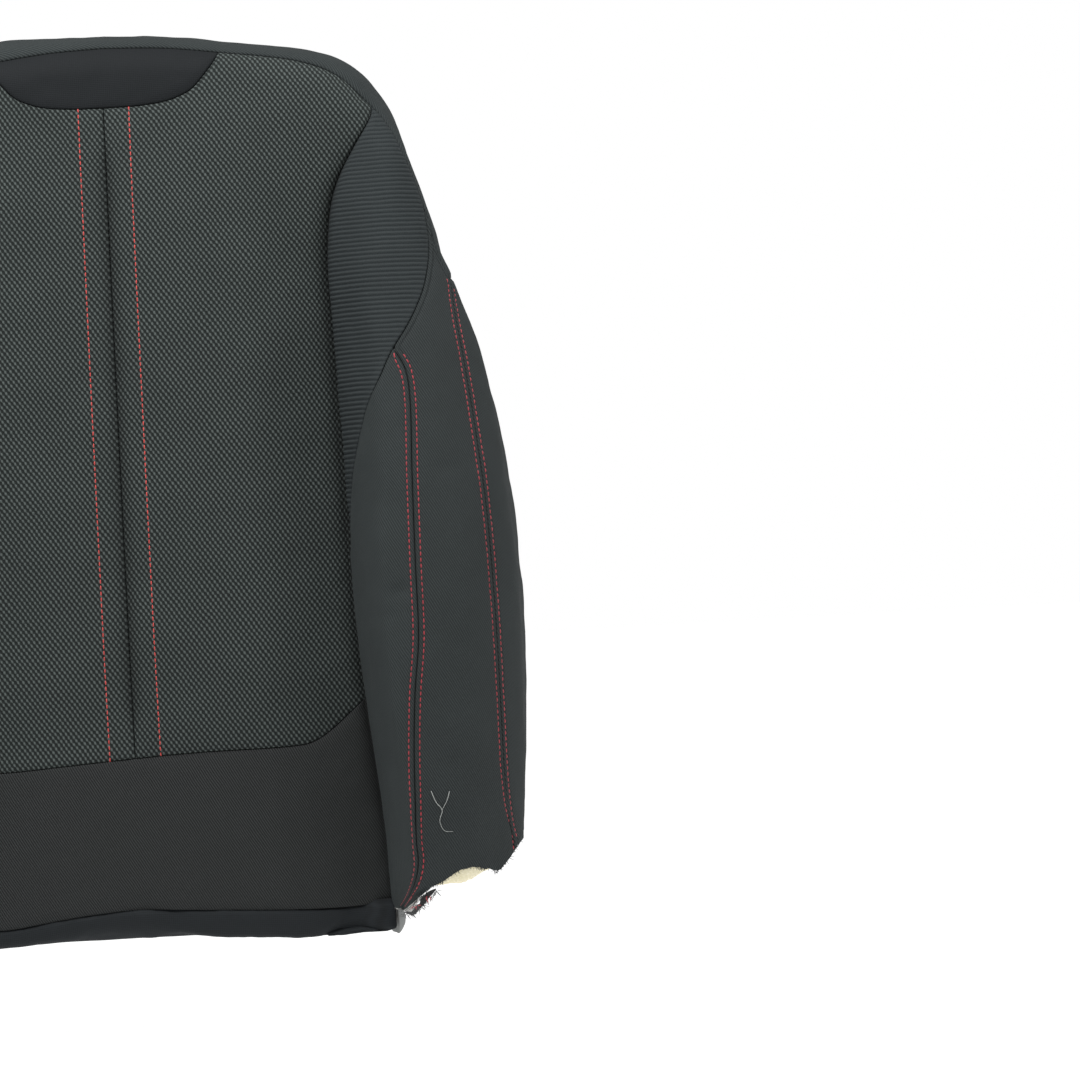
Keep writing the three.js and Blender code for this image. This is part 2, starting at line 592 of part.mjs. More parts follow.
// ---------------------------------------------------------------- foam
const foamBack = -scrimThickness - pieceGap;
const foot = trenchWidth / 2 + foamDepth; // the centre block reaches this far past the trench line
const foamRows = range(17).map((v) => lerp(0.034 * height, 0.99 * height, v));
const [rampStart, rampEnd] = [45, 75]; // a trench's floor starts and stops rising this far past its ties
const ringFloor = 1.5; // free height between a hog ring and the trench's floor

// A trench's floor, which rises to the front of the foam at both ends of the trench.
function floorY(x, z) {
  const below = smoothstep(z, tieLow - rampEnd, tieLow - rampStart);
  const above = 1 - smoothstep(z, tieHigh + rampStart, tieHigh + rampEnd);
  const floor = wireY(x, z) + wireRadius + ringWire * 2 + ringFloor;
  return lerp(frontY(x, z, foamDepth), floor, below * above);
}

// The area inside the outline, cut in by a distance, as a prism between two distances from the bearing face.
function prism(inset, from, to, bottom) {
  const inside = range(28).map((t) => behindPoint(lerp(0, 0.995, t), 0, 1, inset));
  const rightHalf = inside.filter((p) => p.z > bottom + 4).map((p) => new THREE.Vector2(p.x, p.z));
  rightHalf.push(new THREE.Vector2(rightHalf.at(-1).x, bottom));
  const leftHalf = rightHalf.slice(1).reverse().map((p) => new THREE.Vector2(-p.x, p.y));
  const shape = new THREE.Shape([...rightHalf, ...leftHalf]);
  const made = new THREE.ExtrudeGeometry(shape, { depth: to - from, bevelEnabled: false });
  return made.rotateX(Math.PI / 2).translate(0, to, 0);
}
const scrimBottom = 0.085 * height - bearingHeight; // clear of the bolsters' cut ends
const [farFront, farBack, farDown] = [-400, 400, -400]; // past the whole pad
const filled = solidOf(prism(foamDepth, farFront, farBack, farDown));
const frameRecess = prism(rimWall + foamDepth, foamBack, farBack, farDown);
const foamFrom = (front, back) =>
  geometryOf(cut(solidOf(between(front, back)).intersect(filled), [frameRecess, ...room]));

const centreFoam = (back) =>
  foamRows.map((z) => {
    const edge = trenchX(Math.min(z, cornerZ));
    const wall = trenchWidth / 2;
    const half = [wall, 0.2 * edge, 0.42 * edge, 0.62 * edge, 0.8 * edge, edge - wall];
    const columns = half.map((x) => [x, frontY(x, z, foamDepth)]);
    columns.unshift([wall, floorY(0, z)]);
    columns.push([edge - wall, floorY(edge, z)], [edge + foot, floorY(edge, z)]);
    const mirrored = columns.map(([x, y]) => [-x, y]).reverse();
    return [...mirrored, ...columns].map(([x, y]) => new THREE.Vector3(x, back ?? y, z - bearingHeight));
  });
add("foam_centre", foamFrom(centreFoam(null), centreFoam(topReach - foamDepth)), foam);

const blockColumns = [0, 0.04, 0.1, 0.18, 0.28, 0.4, 0.54, 0.7, 0.84, 0.94, 1];
const tornBack = 6; // the bolster's foam ends this far above the cover's cut edge
const tornRows = 3; // rows that spread out from the cut end to the level rows above it
for (const [name, side] of sides) {
  const block = (isBack) =>
    foamRows.map((row, i) =>
      blockColumns.map((u) => {
        const end = cutZ(lerp(0.62, 0.97, u) * halfWidth) + tornBack;
        const z = i < tornRows ? lerp(end, foamRows[tornRows], i / tornRows) : row;
        const from = trenchX(Math.min(z, cornerZ)) + foot + pieceGap;
        const x = lerp(from, Math.max(outlineX(Math.min(z, 0.97 * height)), from + 3), u);
        const y = isBack ? rearAt(z) - foamDepth : frontY(x, z, foamDepth);
        return new THREE.Vector3(side * x, y, z - bearingHeight);
      }),
    );
  add(`foam_bolster_${name}`, foamFrom(block(false), block(true)), foam);
}
add("rear_scrim", prism(rimWall + foamDepth + 1, -scrimThickness, 0, scrimBottom), scrim);

export default backrest;
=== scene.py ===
import json
import math

import bmesh
import bpy
import numpy as np
from mathutils import Matrix, Vector, noise


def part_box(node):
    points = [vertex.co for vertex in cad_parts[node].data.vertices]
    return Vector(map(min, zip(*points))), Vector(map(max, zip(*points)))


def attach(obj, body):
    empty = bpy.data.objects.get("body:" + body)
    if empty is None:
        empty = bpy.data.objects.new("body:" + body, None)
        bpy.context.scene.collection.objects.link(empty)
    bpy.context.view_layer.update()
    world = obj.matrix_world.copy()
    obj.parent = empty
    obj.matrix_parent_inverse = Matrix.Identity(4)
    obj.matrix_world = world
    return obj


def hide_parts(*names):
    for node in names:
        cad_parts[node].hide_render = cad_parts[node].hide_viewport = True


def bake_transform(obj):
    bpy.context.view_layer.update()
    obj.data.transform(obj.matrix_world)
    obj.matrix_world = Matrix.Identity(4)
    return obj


# A sport seat's backrest trim: a sewn cloth cover on its foam pad, seen from the front.
# Shapes are worked out in millimetres here and become metres where a mesh is made.
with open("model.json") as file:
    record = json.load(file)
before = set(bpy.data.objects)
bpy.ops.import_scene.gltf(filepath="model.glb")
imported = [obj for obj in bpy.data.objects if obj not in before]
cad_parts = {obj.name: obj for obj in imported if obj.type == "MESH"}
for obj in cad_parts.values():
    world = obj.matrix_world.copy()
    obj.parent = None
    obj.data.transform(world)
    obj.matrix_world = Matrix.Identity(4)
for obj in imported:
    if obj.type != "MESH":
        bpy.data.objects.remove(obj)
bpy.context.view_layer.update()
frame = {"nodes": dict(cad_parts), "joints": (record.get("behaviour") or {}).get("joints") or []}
print("frame loaded")



def placeObject(name, data):
    # A mesh, a lamp or a camera as an object of the scene.
    obj = bpy.data.objects.new(name, data)
    bpy.context.scene.collection.objects.link(obj)
    return obj


def bakeModifiers(obj):
    # What the modifiers give becomes the piece's own mesh.
    evaluated = obj.evaluated_get(bpy.context.evaluated_depsgraph_get())
    obj.data = bpy.data.meshes.new_from_object(evaluated)
    obj.data.name = obj.name
    obj.modifiers.clear()


# Camera and light

view = {
    "lens": 200.0,  # mm on a 36 mm sensor
    "across": 783.0,  # mm of the front plane that the picture shows
    "target": (301.0, -60.0, -25.5),  # the picture's middle, on the front plane
    "standing": 301.0,  # where the camera stands, mm to the right of the middle
    "roll": 3.06,  # degrees; the pad's top leans to the left
}


def aimCamera():
    data = bpy.data.cameras.new("camera")
    data.lens = view["lens"]
    camera = placeObject("camera", data)
    target = Vector(view["target"]) / 1000
    distance = view["across"] / 1000 * view["lens"] / data.sensor_width
    aside = view["standing"] / 1000 - target.x
    place = target + Vector((aside, -math.sqrt(distance**2 - aside**2), 0))
    back = (place - target).normalized()
    right = Vector((0, 0, 1)).cross(back).normalized()
    level = Matrix((right, back.cross(right), back)).transposed()
    roll = Matrix.Rotation(-math.radians(view["roll"]), 3, "Z")
    camera.matrix_world = Matrix.Translation(place) @ (level @ roll).to_4x4()
    data.clip_end = 50
    bpy.context.scene.camera = camera


aimCamera()

studio = {
    "background": 1.0,  # what the camera sees behind the pad
    "surround": 0.3,  # what lights the pad from all round
    "keyWatts": 76.0,
    "keySize": 1.4,  # m
    "keyPlace": (-0.35, -1.1, 2.2),  # m
    "fillWatts": 11.0,
    "fillSize": 1.8,
    "fillPlace": (2.0, -0.6, 0.6),
    "floor": "#8c8c8c",
    "floorGlow": 0.93,
}


def linear(hexColour):
    # An sRGB hex colour as the linear numbers that the shaders take.
    values = [int(hexColour[i : i + 2], 16) / 255 for i in (1, 3, 5)]
    return tuple(v / 12.92 if v <= 0.04045 else ((v + 0.055) / 1.055) ** 2.4 for v in values) + (1.0,)


def add(tree, kind, inputs=None, **settings):
    # One shader node: its settings, then each input as a value or as the socket that feeds it.
    made = tree.nodes.new(kind)
    for name, value in settings.items():
        setattr(made, name, value)
    for name, value in (inputs or {}).items():
        if isinstance(value, bpy.types.NodeSocket):
            tree.links.new(value, made.inputs[name])
        else:
            made.inputs[name].default_value = value
    return made


def lightStudio():
    scene = bpy.context.scene
    scene.view_settings.view_transform = "Standard"
    scene.world = bpy.data.worlds.new("studio")
    scene.world.use_nodes = True
    tree = scene.world.node_tree
    tree.nodes.clear()
    seen = add(tree, "ShaderNodeLightPath").outputs["Is Camera Ray"]
    strength = add(
        tree,
        "ShaderNodeMapRange",
        {"Value": seen, "To Min": studio["surround"], "To Max": studio["background"]},
    ).outputs["Result"]
    glow = add(tree, "ShaderNodeBackground", {"Color": (1, 1, 1, 1), "Strength": strength})
    out = add(tree, "ShaderNodeOutputWorld")
    tree.links.new(glow.outputs[0], out.inputs[0])
    for name in ("key", "fill"):
        data = bpy.data.lights.new(name, "AREA")
        data.energy = studio[name + "Watts"]
        data.size = studio[name + "Size"]
        lamp = placeObject(name, data)
        lamp.location = studio[name + "Place"]
        lamp.rotation_euler = (-lamp.location).to_track_quat("-Z", "Y").to_euler()


lightStudio()

# The pad's sizes, from the frame


def boxOf(node):
    low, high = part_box(node)
    return np.array(low) * 1000, np.array(high) * 1000


joints = {joint["name"]: joint for joint in frame["joints"]}
foldLine = np.array(joints["apron_fold"]["pos_m"]) * 1000
topZ = boxOf("top_rim_panel")[1][2]
height = (topZ - foldLine[2]) / 0.999  # the apron folds 0.1 % of the height above the base line
baseZ = topZ - height
halfWidth = boxOf("bolster_side_right")[1][0]
frontDepth = -boxOf("centre_panel_right")[0][1] - 10
bolsterRise = -boxOf("bolster_face_right")[0][1] - frontDepth - 10
sideReach = boxOf("bolster_side_right")[1][1]
topReach = boxOf("top_rim_panel")[1][1] - 8

cover = {
    "trenchDrop": 14.0,
    "sideRoll": 42.0,  # radius of a bolster's rolled edge
    "topRoll": 24.0,
    "rimInset": 3.0,  # the seam along the edge lies this far inside the outline
    "hem": 9.0,
    "step": 3.2,  # size of the mesh's squares away from the seams
}


def lerp(a, b, t):
    return a + (b - a) * t


def bell(t, middle, width):
    return np.exp(-(((t - middle) / width) ** 2))


def smoothstep(t, low, high):
    s = np.clip((t - low) / (high - low), 0, 1)
    return s * s * (3 - 2 * s)


def through(pairs, inputScale=1.0, outputScale=1.0):
    # A smooth function through [input, output] pairs, flat beyond both ends.
    xs, ys = np.array(pairs, float).T * [[inputScale], [outputScale]]
    low = np.maximum(np.arange(len(xs)) - 1, 0)
    high = np.minimum(np.arange(len(xs)) + 1, len(xs) - 1)
    slopes = (ys[high] - ys[low]) / (xs[high] - xs[low])

    def curve(t):
        t = np.clip(t, xs[0], xs[-1])
        i = np.clip(np.searchsorted(xs, t, side="right") - 1, 0, len(xs) - 2)
        h = xs[i + 1] - xs[i]
        s = (t - xs[i]) / h
        bend = h * s * (1 - s) * ((1 - s) * slopes[i] - s * slopes[i + 1])
        return lerp(ys[i], ys[i + 1], s * s * (3 - 2 * s)) + bend

    return curve


def evenly(points, count):
    # Points at even distances along a line of points.
    gaps = np.linalg.norm(np.diff(points, axis=0), axis=1)
    along = np.concatenate([[0], np.cumsum(gaps)])
    at = np.linspace(0, along[-1], count)
    return np.stack([np.interp(at, along, points[:, k]) for k in range(points.shape[1])], axis=1)


def centripetal(points, count):
    # Even samples of a centripetal Catmull-Rom curve.
    points = np.array(points, float)
    ends = np.vstack([2 * points[0] - points[1], points, 2 * points[-1] - points[-2]])
    runs = []
    for i in range(len(points) - 1):
        p = ends[i : i + 4]
        t = np.concatenate([[0], np.cumsum(np.linalg.norm(np.diff(p, axis=0), axis=1) ** 0.5)])
        s = np.linspace(t[1], t[2], 50, endpoint=False)[:, None]
        first = [lerp(p[k], p[k + 1], (s - t[k]) / (t[k + 1] - t[k])) for k in range(3)]
        second = [lerp(first[k], first[k + 1], (s - t[k]) / (t[k + 2] - t[k])) for k in range(2)]
        runs.append(lerp(second[0], second[1], (s - t[1]) / (t[2] - t[1])))
    return evenly(np.vstack([*runs, points[-1:]]), count)


# The right half of the front outline, from the top's middle down, in half widths and heights.
outline = centripetal(
    [
        (x * halfWidth, z * height)
        for x, z in (
            *((0, 1), (0.15, 0.997), (0.31, 0.988), (0.51, 0.973), (0.6, 0.956), (0.67, 0.927)),
            *((0.72, 0.901), (0.757, 0.872), (0.792, 0.83), (0.823, 0.785), (0.843, 0.746)),
            *((0.874, 0.71), (0.93, 0.638), (0.972, 0.56), (0.996, 0.464), (1, 0.354)),
            *((0.993, 0.243), (0.98, 0.12), (0.97, 0)),
        )
    ],
    641,
)
outlineWay = np.gradient(outline, axis=0)
outlineWay /= np.linalg.norm(outlineWay, axis=1)[:, None]
inwardWay = np.stack([outlineWay[:, 1], -outlineWay[:, 0]], axis=1)
insetLine = outline + inwardWay * cover["rimInset"]
shares = np.linspace(0, 1, len(outline))


def outlineX(z):
    return np.interp(-z, -outline[:, 1], outline[:, 0])


def insetX(z):
    return np.interp(-z, -insetLine[:, 1], insetLine[:, 0])


def insetZ(x):
    top = insetLine[: np.argmax(insetLine[:, 0])]
    return np.interp(np.abs(x), top[:, 0], top[:, 1])


def insideBy(x, z):
    # How far points of the front lie inside the outline; only near the edge is it needed.
    points = np.stack([np.abs(x).ravel(), z.ravel()], axis=1)
    best = np.full(len(points), 1e6)
    a, b = outline[:-1:2], outline[2::2]
    run = b - a
    near = (outlineX(points[:, 1]) - points[:, 0] < 75) | (points[:, 1] > 0.86 * height)
    for part in np.array_split(np.flatnonzero(near), max(1, near.sum() // 4000)):
        p = points[part][:, None]
        t = np.clip(((p - a) * run).sum(2) / (run * run).sum(1), 0, 1)
        best[part] = np.linalg.norm(p - a - t[..., None] * run, axis=2).min(1)
    return best.reshape(x.shape)


# Seam lines: shares of the half width against shares of the height, or the other way round.
def acrossAt(pairs):
    return through(pairs, height, halfWidth)


def heightAt(pairs):
    return through(pairs, halfWidth, height)


trenchX = acrossAt(
    [(0, 0.628), (0.14, 0.612), (0.25, 0.588), (0.35, 0.572), (0.5, 0.56), (0.66, 0.545), (0.73, 0.54)]
    + [(0.77, 0.546), (0.81, 0.562), (0.84, 0.59), (0.87, 0.632), (0.9, 0.677), (0.916, 0.686)]
)
shoulderSeamX = acrossAt(
    [(0.41, 0.566), (0.475, 0.577), (0.513, 0.592), (0.55, 0.615), (0.58, 0.638), (0.61, 0.675)]
    + [(0.638, 0.71), (0.665, 0.752), (0.69, 0.782), (0.71, 0.799), (0.74, 0.812), (0.77, 0.812)]
    + [(0.828, 0.793)]
)
noseSeamX = acrossAt(
    [(0, 0.62), (0.02, 0.648), (0.04, 0.678), (0.06, 0.698), (0.078, 0.706), (0.095, 0.704), (0.14, 0.707)]
    + [(0.2, 0.712), (0.26, 0.722)]
    + [(0.32, 0.738), (0.4, 0.74), (0.5, 0.743), (0.58, 0.747), (0.615, 0.738), (0.638, 0.71)]
)
outerSeamX = acrossAt(
    [(0, 0.955), (0.1, 0.952), (0.13, 0.94), (0.17, 0.935), (0.33, 0.934), (0.45, 0.926), (0.53, 0.911)]
    + [(0.62, 0.888), (0.67, 0.872), (0.72, 0.862)]
)
lumbarSeamZ = heightAt(
    [(-0.62, 0.252), (-0.585, 0.24), (-0.55, 0.224), (-0.5, 0.208), (-0.45, 0.199), (-0.35, 0.193)]
    + [(-0.2, 0.196), (0, 0.2015), (0.16, 0.2045), (0.42, 0.2065), (0.47, 0.213), (0.51, 0.225)]
    + [(0.55, 0.24), (0.62, 0.266)]
)
apronSeamZ = heightAt(
    [(-0.62, 0.02), (-0.36, 0.017), (-0.27, 0.0215), (-0.135, 0.029), (0, 0.032), (0.18, 0.0275)]
    + [(0.45, 0.0225), (0.62, 0.0245)]
)
yokeSeamZ = heightAt(
    [(0, 0.925), (0.077, 0.9255), (0.154, 0.929), (0.192, 0.934), (0.23, 0.943), (0.273, 0.965)]
    + [(0.3, 0.984)]
)
cutZ = heightAt(
    [(0.6, 0.02), (0.66, 0.022), (0.7, 0.034), (0.76, 0.052), (0.8, 0.062), (0.84, 0.066)]
    + [(0.885, 0.062), (0.905, 0.06), (0.94, 0.076), (0.97, 0.09), (1, 0.1)]
)

spine = through(
    [(0, 10), (0.06, 4), (0.2, -6), (0.32, -10), (0.5, -5), (0.7, 4), (0.85, 14), (0.95, 24), (1, 30)],
    height,
)
riseShare = through(
    [(0, 0.86), (0.1, 0.94), (0.2, 1), (0.4, 1), (0.5, 0.92), (0.58, 0.78), (0.66, 0.58), (0.73, 0.42)]
    + [(0.8, 0.25), (0.86, 0.12), (0.916, 0.02), (1, 0)],
    height,
)
wallWidth = through(
    [(0, 24), (0.4, 28), (0.5, 34), (0.6, 40), (0.7, 46), (0.8, 50), (0.92, 40)],
    height,
)


def rollAt(z):
    return lerp(cover["sideRoll"], cover["topRoll"], smoothstep(z / height, 0.55, 0.9))


def plainFront(x, z):
    # The front before its edge is rolled over: how far it lies from the bearing face.
    side, trench = np.abs(x), trenchX(z)
    fall = smoothstep(side, 0.33 * halfWidth, trench)
    lobe = np.sin(np.clip((side - trench) / wallWidth(z), 0, 1) * math.pi / 2)
    across = np.maximum(outlineX(np.minimum(z, 0.9 * height)) - trench, 1)
    shoulder = 1 - 0.28 * smoothstep((side - trench) / across, 0.45, 1)
    drop = cover["trenchDrop"] * fall * (1 - lobe) * riseShare(z) ** 0.3
    return spine(z) - frontDepth + drop - bolsterRise * riseShare(z) * lobe * shoulder


def frontGrid(x, z):
    roll = rollAt(z)
    left = np.clip(roll - insideBy(x, z), 0, roll)
    y = plainFront(x, z) + roll - np.sqrt(roll * roll - left * left)
    return np.stack([x, y, z + baseZ], axis=-1)


# The covers' panels: grids of points that lie closer together at seams and stitch rows

seamLines = (0, 0.5, 1.1, 1.9, 2.8, 4.2, 6.2)  # mm from a seam
stitchedLines = (0, 0.5, 1.1, 1.9, 2.8, 3.4, 3.9, 4.4, 5.2, 6.8)
tieLines = (0, 0.5, 1.1, 1.9, 2.8, 4.2, 6.2, 9, 12, 15, 17, 17.9, 18.5, 19.1, 20, 22)
freeLines = (0, 1.2, 2.6)


def stations(longest, step, near=seamLines, far=seamLines):
    # Where mesh lines cross a piece: a distance from either edge and a share of its width for each.
    near, far = np.array(near, float), np.array(far, float)
    count = max(2, math.ceil((longest - near[-1] - far[-1]) / step))
    t = np.linspace(0, 1, count + 1)[1:-1]
    fromNear = np.concatenate([near, near[-1] * (1 - t), 0 * far])
    fromFar = np.concatenate([0 * near, far[-1] * t, far[::-1]])
    share = np.concatenate([0 * near, t, 0 * far + 1])
    return fromNear, fromFar, share, near[-1], far[-1]


def placed(lines, width, slants=(1, 1)):
    # Distances of the mesh lines from the first edge. They spread where a seam runs at a slant to
    # them, and close up where a piece is narrow, at its first edge before its other one.
    fromNear, fromFar, share, near, far = lines
    farReach = np.minimum(far / slants[1], 0.7 * width)
    nearReach = np.minimum(near / slants[0], 0.8 * (width - farReach))
    return fromNear * nearReach / near - fromFar * farReach / far + share * width


def frontNormal(x, z):
    step = 0.4
    slopeX = frontGrid(x + step, z)[..., 1] - frontGrid(x - step, z)[..., 1]
    slopeZ = frontGrid(x, z + step)[..., 1] - frontGrid(x, z - step)[..., 1]
    n = np.stack([slopeX, np.full(x.shape, -2 * step), slopeZ], axis=-1)
    return n / np.linalg.norm(n, axis=-1, keepdims=True)


def unit(v):
    return v / np.maximum(np.linalg.norm(v, axis=-1, keepdims=True), 1e-9)


def arcs(points):
    # Distances along each row of a grid.
    gaps = np.linalg.norm(np.diff(points, axis=1), axis=2)
    return np.concatenate([np.zeros((len(points), 1)), np.cumsum(gaps, axis=1)], axis=1)


def table(tz, rows):
    # Looks up a row of values for each height, column by column.
    def look(z):
        columns = [np.interp(z[..., j], tz, rows[:, j]) for j in range(rows.shape[1])]
        return np.stack(columns, axis=-1)

    return look


def solvePanel(part):
    # The grid of a panel, and how far each of its points lies from each edge of the panel.
    side, left, right = part["side"], part["left"], part["right"]
    low, high = part["low"], part["high"]
    tz = np.linspace(part["span"][0], part["span"][1], 100)
    ts = np.linspace(0, 1, 121)
    l, r = left(tz), np.maximum(right(tz), left(tz) + 0.3)
    flat = frontGrid(lerp(l[:, None], r[:, None], ts), np.repeat(tz[:, None], len(ts), axis=1))
    along = arcs(flat)
    width = along[:, -1]
    columns = stations(width.max(), part.get("step", cover["step"]), part["near"], part["far"])

    def slant(edge, next_):
        seam = unit(np.gradient(flat[:, edge], axis=0))
        across = unit(flat[:, next_] - flat[:, edge])
        return np.sqrt(np.clip(1 - (seam * across).sum(1) ** 2, 0.4, 1))

    slants = slant(0, 2), slant(-1, -3)
    where = placed(columns, width[:, None], [v[:, None] for v in slants])
    share = table(tz, np.array([np.interp(where[k], along[k], ts) for k in range(len(tz))]))
    rows = stations(
        part["span"][1] - part["span"][0],
        part.get("rowStep", cover["step"]),
        part["nearLow"],
        part["nearHigh"],
    )
    count = len(rows[0])
    x = np.repeat(lerp(l.mean(), r.mean(), where[50] / width[50])[None], count, axis=0)
    for _ in range(14):
        lows, highs = low(side * x), high(side * x)
        tall = np.maximum(highs - lows, 0.3)
        z = lows + placed(rows, tall.T).T
        rightEdge = np.maximum(right(z), left(z) + 0.3)
        x = lerp(x, lerp(left(z), rightEdge, share(z)), 0.5)

    def steep(edge):
        return 1 / np.sqrt(1 + (np.gradient(edge, axis=1) / np.gradient(x, axis=1)) ** 2)

    fromLeft = table(tz, where)(z)
    widths = np.interp(z, tz, width)
    return {
        "x": side * x,
        "z": z,
        "left": fromLeft * np.interp(z, tz, slants[0]),
        "right": (widths - fromLeft) * np.interp(z, tz, slants[1]),
        "low": (z - lows) * steep(lows),
        "high": (highs - z) * steep(highs),
    }


def weaveMap(x, z, grain):
    # Cloth coordinates in mm: the grain runs up the pad at one distance from the middle.
    tx = np.linspace(x.min(), x.max(), 140)
    tz = np.linspace(z.min(), z.max(), 70)
    flat = frontGrid(np.repeat(tx[None], 70, axis=0), np.repeat(tz[:, None], 140, axis=1))
    across = arcs(flat)
    across -= np.array([[np.interp(grain, tx, row)] for row in across])
    up = arcs(frontGrid(np.full((1, 70), grain), tz[None]))[0]
    i = np.clip(np.searchsorted(tz, z) - 1, 0, 68)
    j = np.clip(np.searchsorted(tx, x) - 1, 0, 138)
    a, b = (z - tz[i]) / (tz[1] - tz[0]), (x - tx[j]) / (tx[1] - tx[0])
    u = lerp(lerp(across[i, j], across[i, j + 1], b), lerp(across[i + 1, j], across[i + 1, j + 1], b), a)
    return np.stack([u, np.interp(z, tz, up)], axis=-1)


# Seams: how deep the cloth is drawn in, over what width, and the radius of its folded edge (mm).

seams = {
    "tied": (3.6, 6.5, 1.6),
    "trench": (3.2, 5.5, 1.6),
    "plain": (1.0, 3.0, 1.3),
    "felled": (0.8, 3.0, 1.2),
    "butt": (0.4, 2.5, 0.7),
    "free": (0.0, 1.0, 0.05),
}


def between(first, second, t):
    return [lerp(a, b, t) for a, b in zip(seams[first], seams[second])]


def tiedSeam(z):
    ends = smoothstep(z, 0.205 * height, 0.27 * height) * (1 - smoothstep(z, 0.84 * height, 0.915 * height))
    return between("plain", "tied", ends)


def trenchSeam(z):
    ends = smoothstep(z, 0.03 * height, 0.2 * height) * (1 - smoothstep(z, 0.8 * height, 0.905 * height))
    return between("plain", "trench", ends)


def shoulderSeam(z):
    merged = smoothstep(z, waistZ - 4, waistZ + 55)
    return [lerp(a, b, merged) for a, b in zip(trenchSeam(z), seams["felled"])]


def dip(d, seam):
    depth, width, fold = seam
    d = np.maximum(d, 0)
    return depth * np.exp(-((d / width) ** 1.3)) + fold - np.sqrt(fold**2 - np.clip(fold - d, 0, None) ** 2)


def mottle(points, size, seed, octaves=3):
    # Smooth noise of about -1 to 1 at each point.
    shift = Vector((seed * 17.3, seed * 5.1, seed * 9.7))
    flat = points.reshape(-1, 3) / size
    values = [noise.fractal(Vector(p) + shift, 1, 2, octaves, noise_basis="PERLIN_ORIGINAL") for p in flat]
    return np.array(values).reshape(points.shape[:-1])


cloth = {
    "pressure": 4.0,
    "mass": 0.02,
    "slack": 0.003,  # share by which a panel is cut larger than its place
    "cell": 11.0,  # mm
    "frames": 20,
    "evening": 4,  # passes that take out buckles finer than the foam lets stand
    "stiffness": 2.0,
    "quality": 5,
    "dome": 2.0,  # mm, the height of a panel where the simulation is left out
    "most": 3.0,  # mm that a panel may stand off its foam
}


def stretchTo(values, at, places):
    # Smooth resampling of rows of values from the places `at` to others.
    i = np.clip(np.searchsorted(at, places) - 1, 0, len(at) - 2)
    t = ((places - at[i]) / (at[i + 1] - at[i]))[:, None]
    before, after = values[np.maximum(i - 1, 0)], values[np.minimum(i + 2, len(at) - 1)]
    a, b = values[i], values[i + 1]
    cubic = 3 * (a - b) + after - before
    square = 2 * before - 5 * a + 4 * b - after
    return a + 0.5 * t * (b - before + t * (square + t * cubic))


def meshOf(name, points):
    # A mesh of quads on a grid of points.
    rows, columns = points.shape[:2]
    index = np.arange(rows * columns).reshape(rows, columns)
    quads = np.stack([index[:-1, :-1], index[:-1, 1:], index[1:, 1:], index[1:, :-1]], axis=-1)
    mesh = bpy.data.meshes.new(name)
    mesh.from_pydata((points.reshape(-1, 3) / 1000).tolist(), [], quads.reshape(-1, 4).tolist())
    return mesh


def puff(name, points, normals):
    # How far a panel's cloth stands off when its foam presses on it from behind.
    rows, columns = points.shape[:2]
    u = np.concatenate([[0], np.cumsum(np.linalg.norm(np.diff(points[rows // 2], axis=0), axis=1))])
    v = np.concatenate([[0], np.cumsum(np.linalg.norm(np.diff(points[:, columns // 2], axis=0), axis=1))])
    coarseU = np.linspace(0, u[-1], max(6, round(u[-1] / cloth["cell"])))
    coarseV = np.linspace(0, v[-1], max(6, round(v[-1] / cloth["cell"])))

    def coarse(grid):
        half = stretchTo(grid.reshape(rows, -1), v, coarseV).reshape(len(coarseV), columns, 3)
        return stretchTo(half.transpose(1, 0, 2).reshape(columns, -1), u, coarseU).reshape(
            len(coarseU), len(coarseV), 3
        ).transpose(1, 0, 2)

    start, out = coarse(points), unit(coarse(normals))
    obj = placeObject(name + "_sim", meshOf(name + "_sim", start))
    edge = np.zeros(start.shape[:2], bool)
    edge[[0, -1]] = True
    edge[:, [0, -1]] = True
    obj.vertex_groups.new(name="sewn").add(np.flatnonzero(edge).tolist(), 1, "REPLACE")
    modifier = obj.modifiers.new("cloth", "CLOTH")
    physics = modifier.settings
    physics.quality = cloth["quality"]
    physics.mass = cloth["mass"]
    physics.use_pressure = True
    physics.uniform_pressure_force = cloth["pressure"]
    physics.effector_weights.gravity = 0
    physics.vertex_group_mass = "sewn"
    physics.shrink_min = -cloth["slack"]
    physics.bending_stiffness = cloth["stiffness"]
    modifier.collision_settings.use_self_collision = False
    modifier.point_cache.frame_start = 1
    modifier.point_cache.frame_end = cloth["frames"]
    for frameNumber in range(1, cloth["frames"] + 1):
        bpy.context.scene.frame_set(frameNumber)
    evaluated = obj.evaluated_get(bpy.context.evaluated_depsgraph_get())
    moved = np.empty(len(obj.data.vertices) * 3)
    evaluated.data.vertices.foreach_get("co", moved)
    lift = ((moved.reshape(start.shape) * 1000 - start) * out).sum(-1)
    bpy.context.scene.frame_set(1)
    bpy.data.objects.remove(obj)
    for _ in range(cloth["evening"]):
        lift[1:-1] = (lift[:-2] + 2 * lift[1:-1] + lift[2:]) / 4
        lift[:, 1:-1] = (lift[:, :-2] + 2 * lift[:, 1:-1] + lift[:, 2:]) / 4
    print("  puff", name, f"{lift.min():.2f} to {lift.max():.2f} mm")
    lift = cloth["most"] * np.tanh(lift / cloth["most"])
    half = stretchTo(lift, coarseV, v)
    return stretchTo(half.T, coarseU, u).T


stitching = {
    "pitch": 4.3,  # mm from one stitch to the next
    "stitch": 3.4,
    "thread": 0.55,  # radius
    "twin": 3.9,  # a twin row lies this far from its seam
    "channel": 18.5,  # the rows beside the middle seam
}
stitchRows = {}


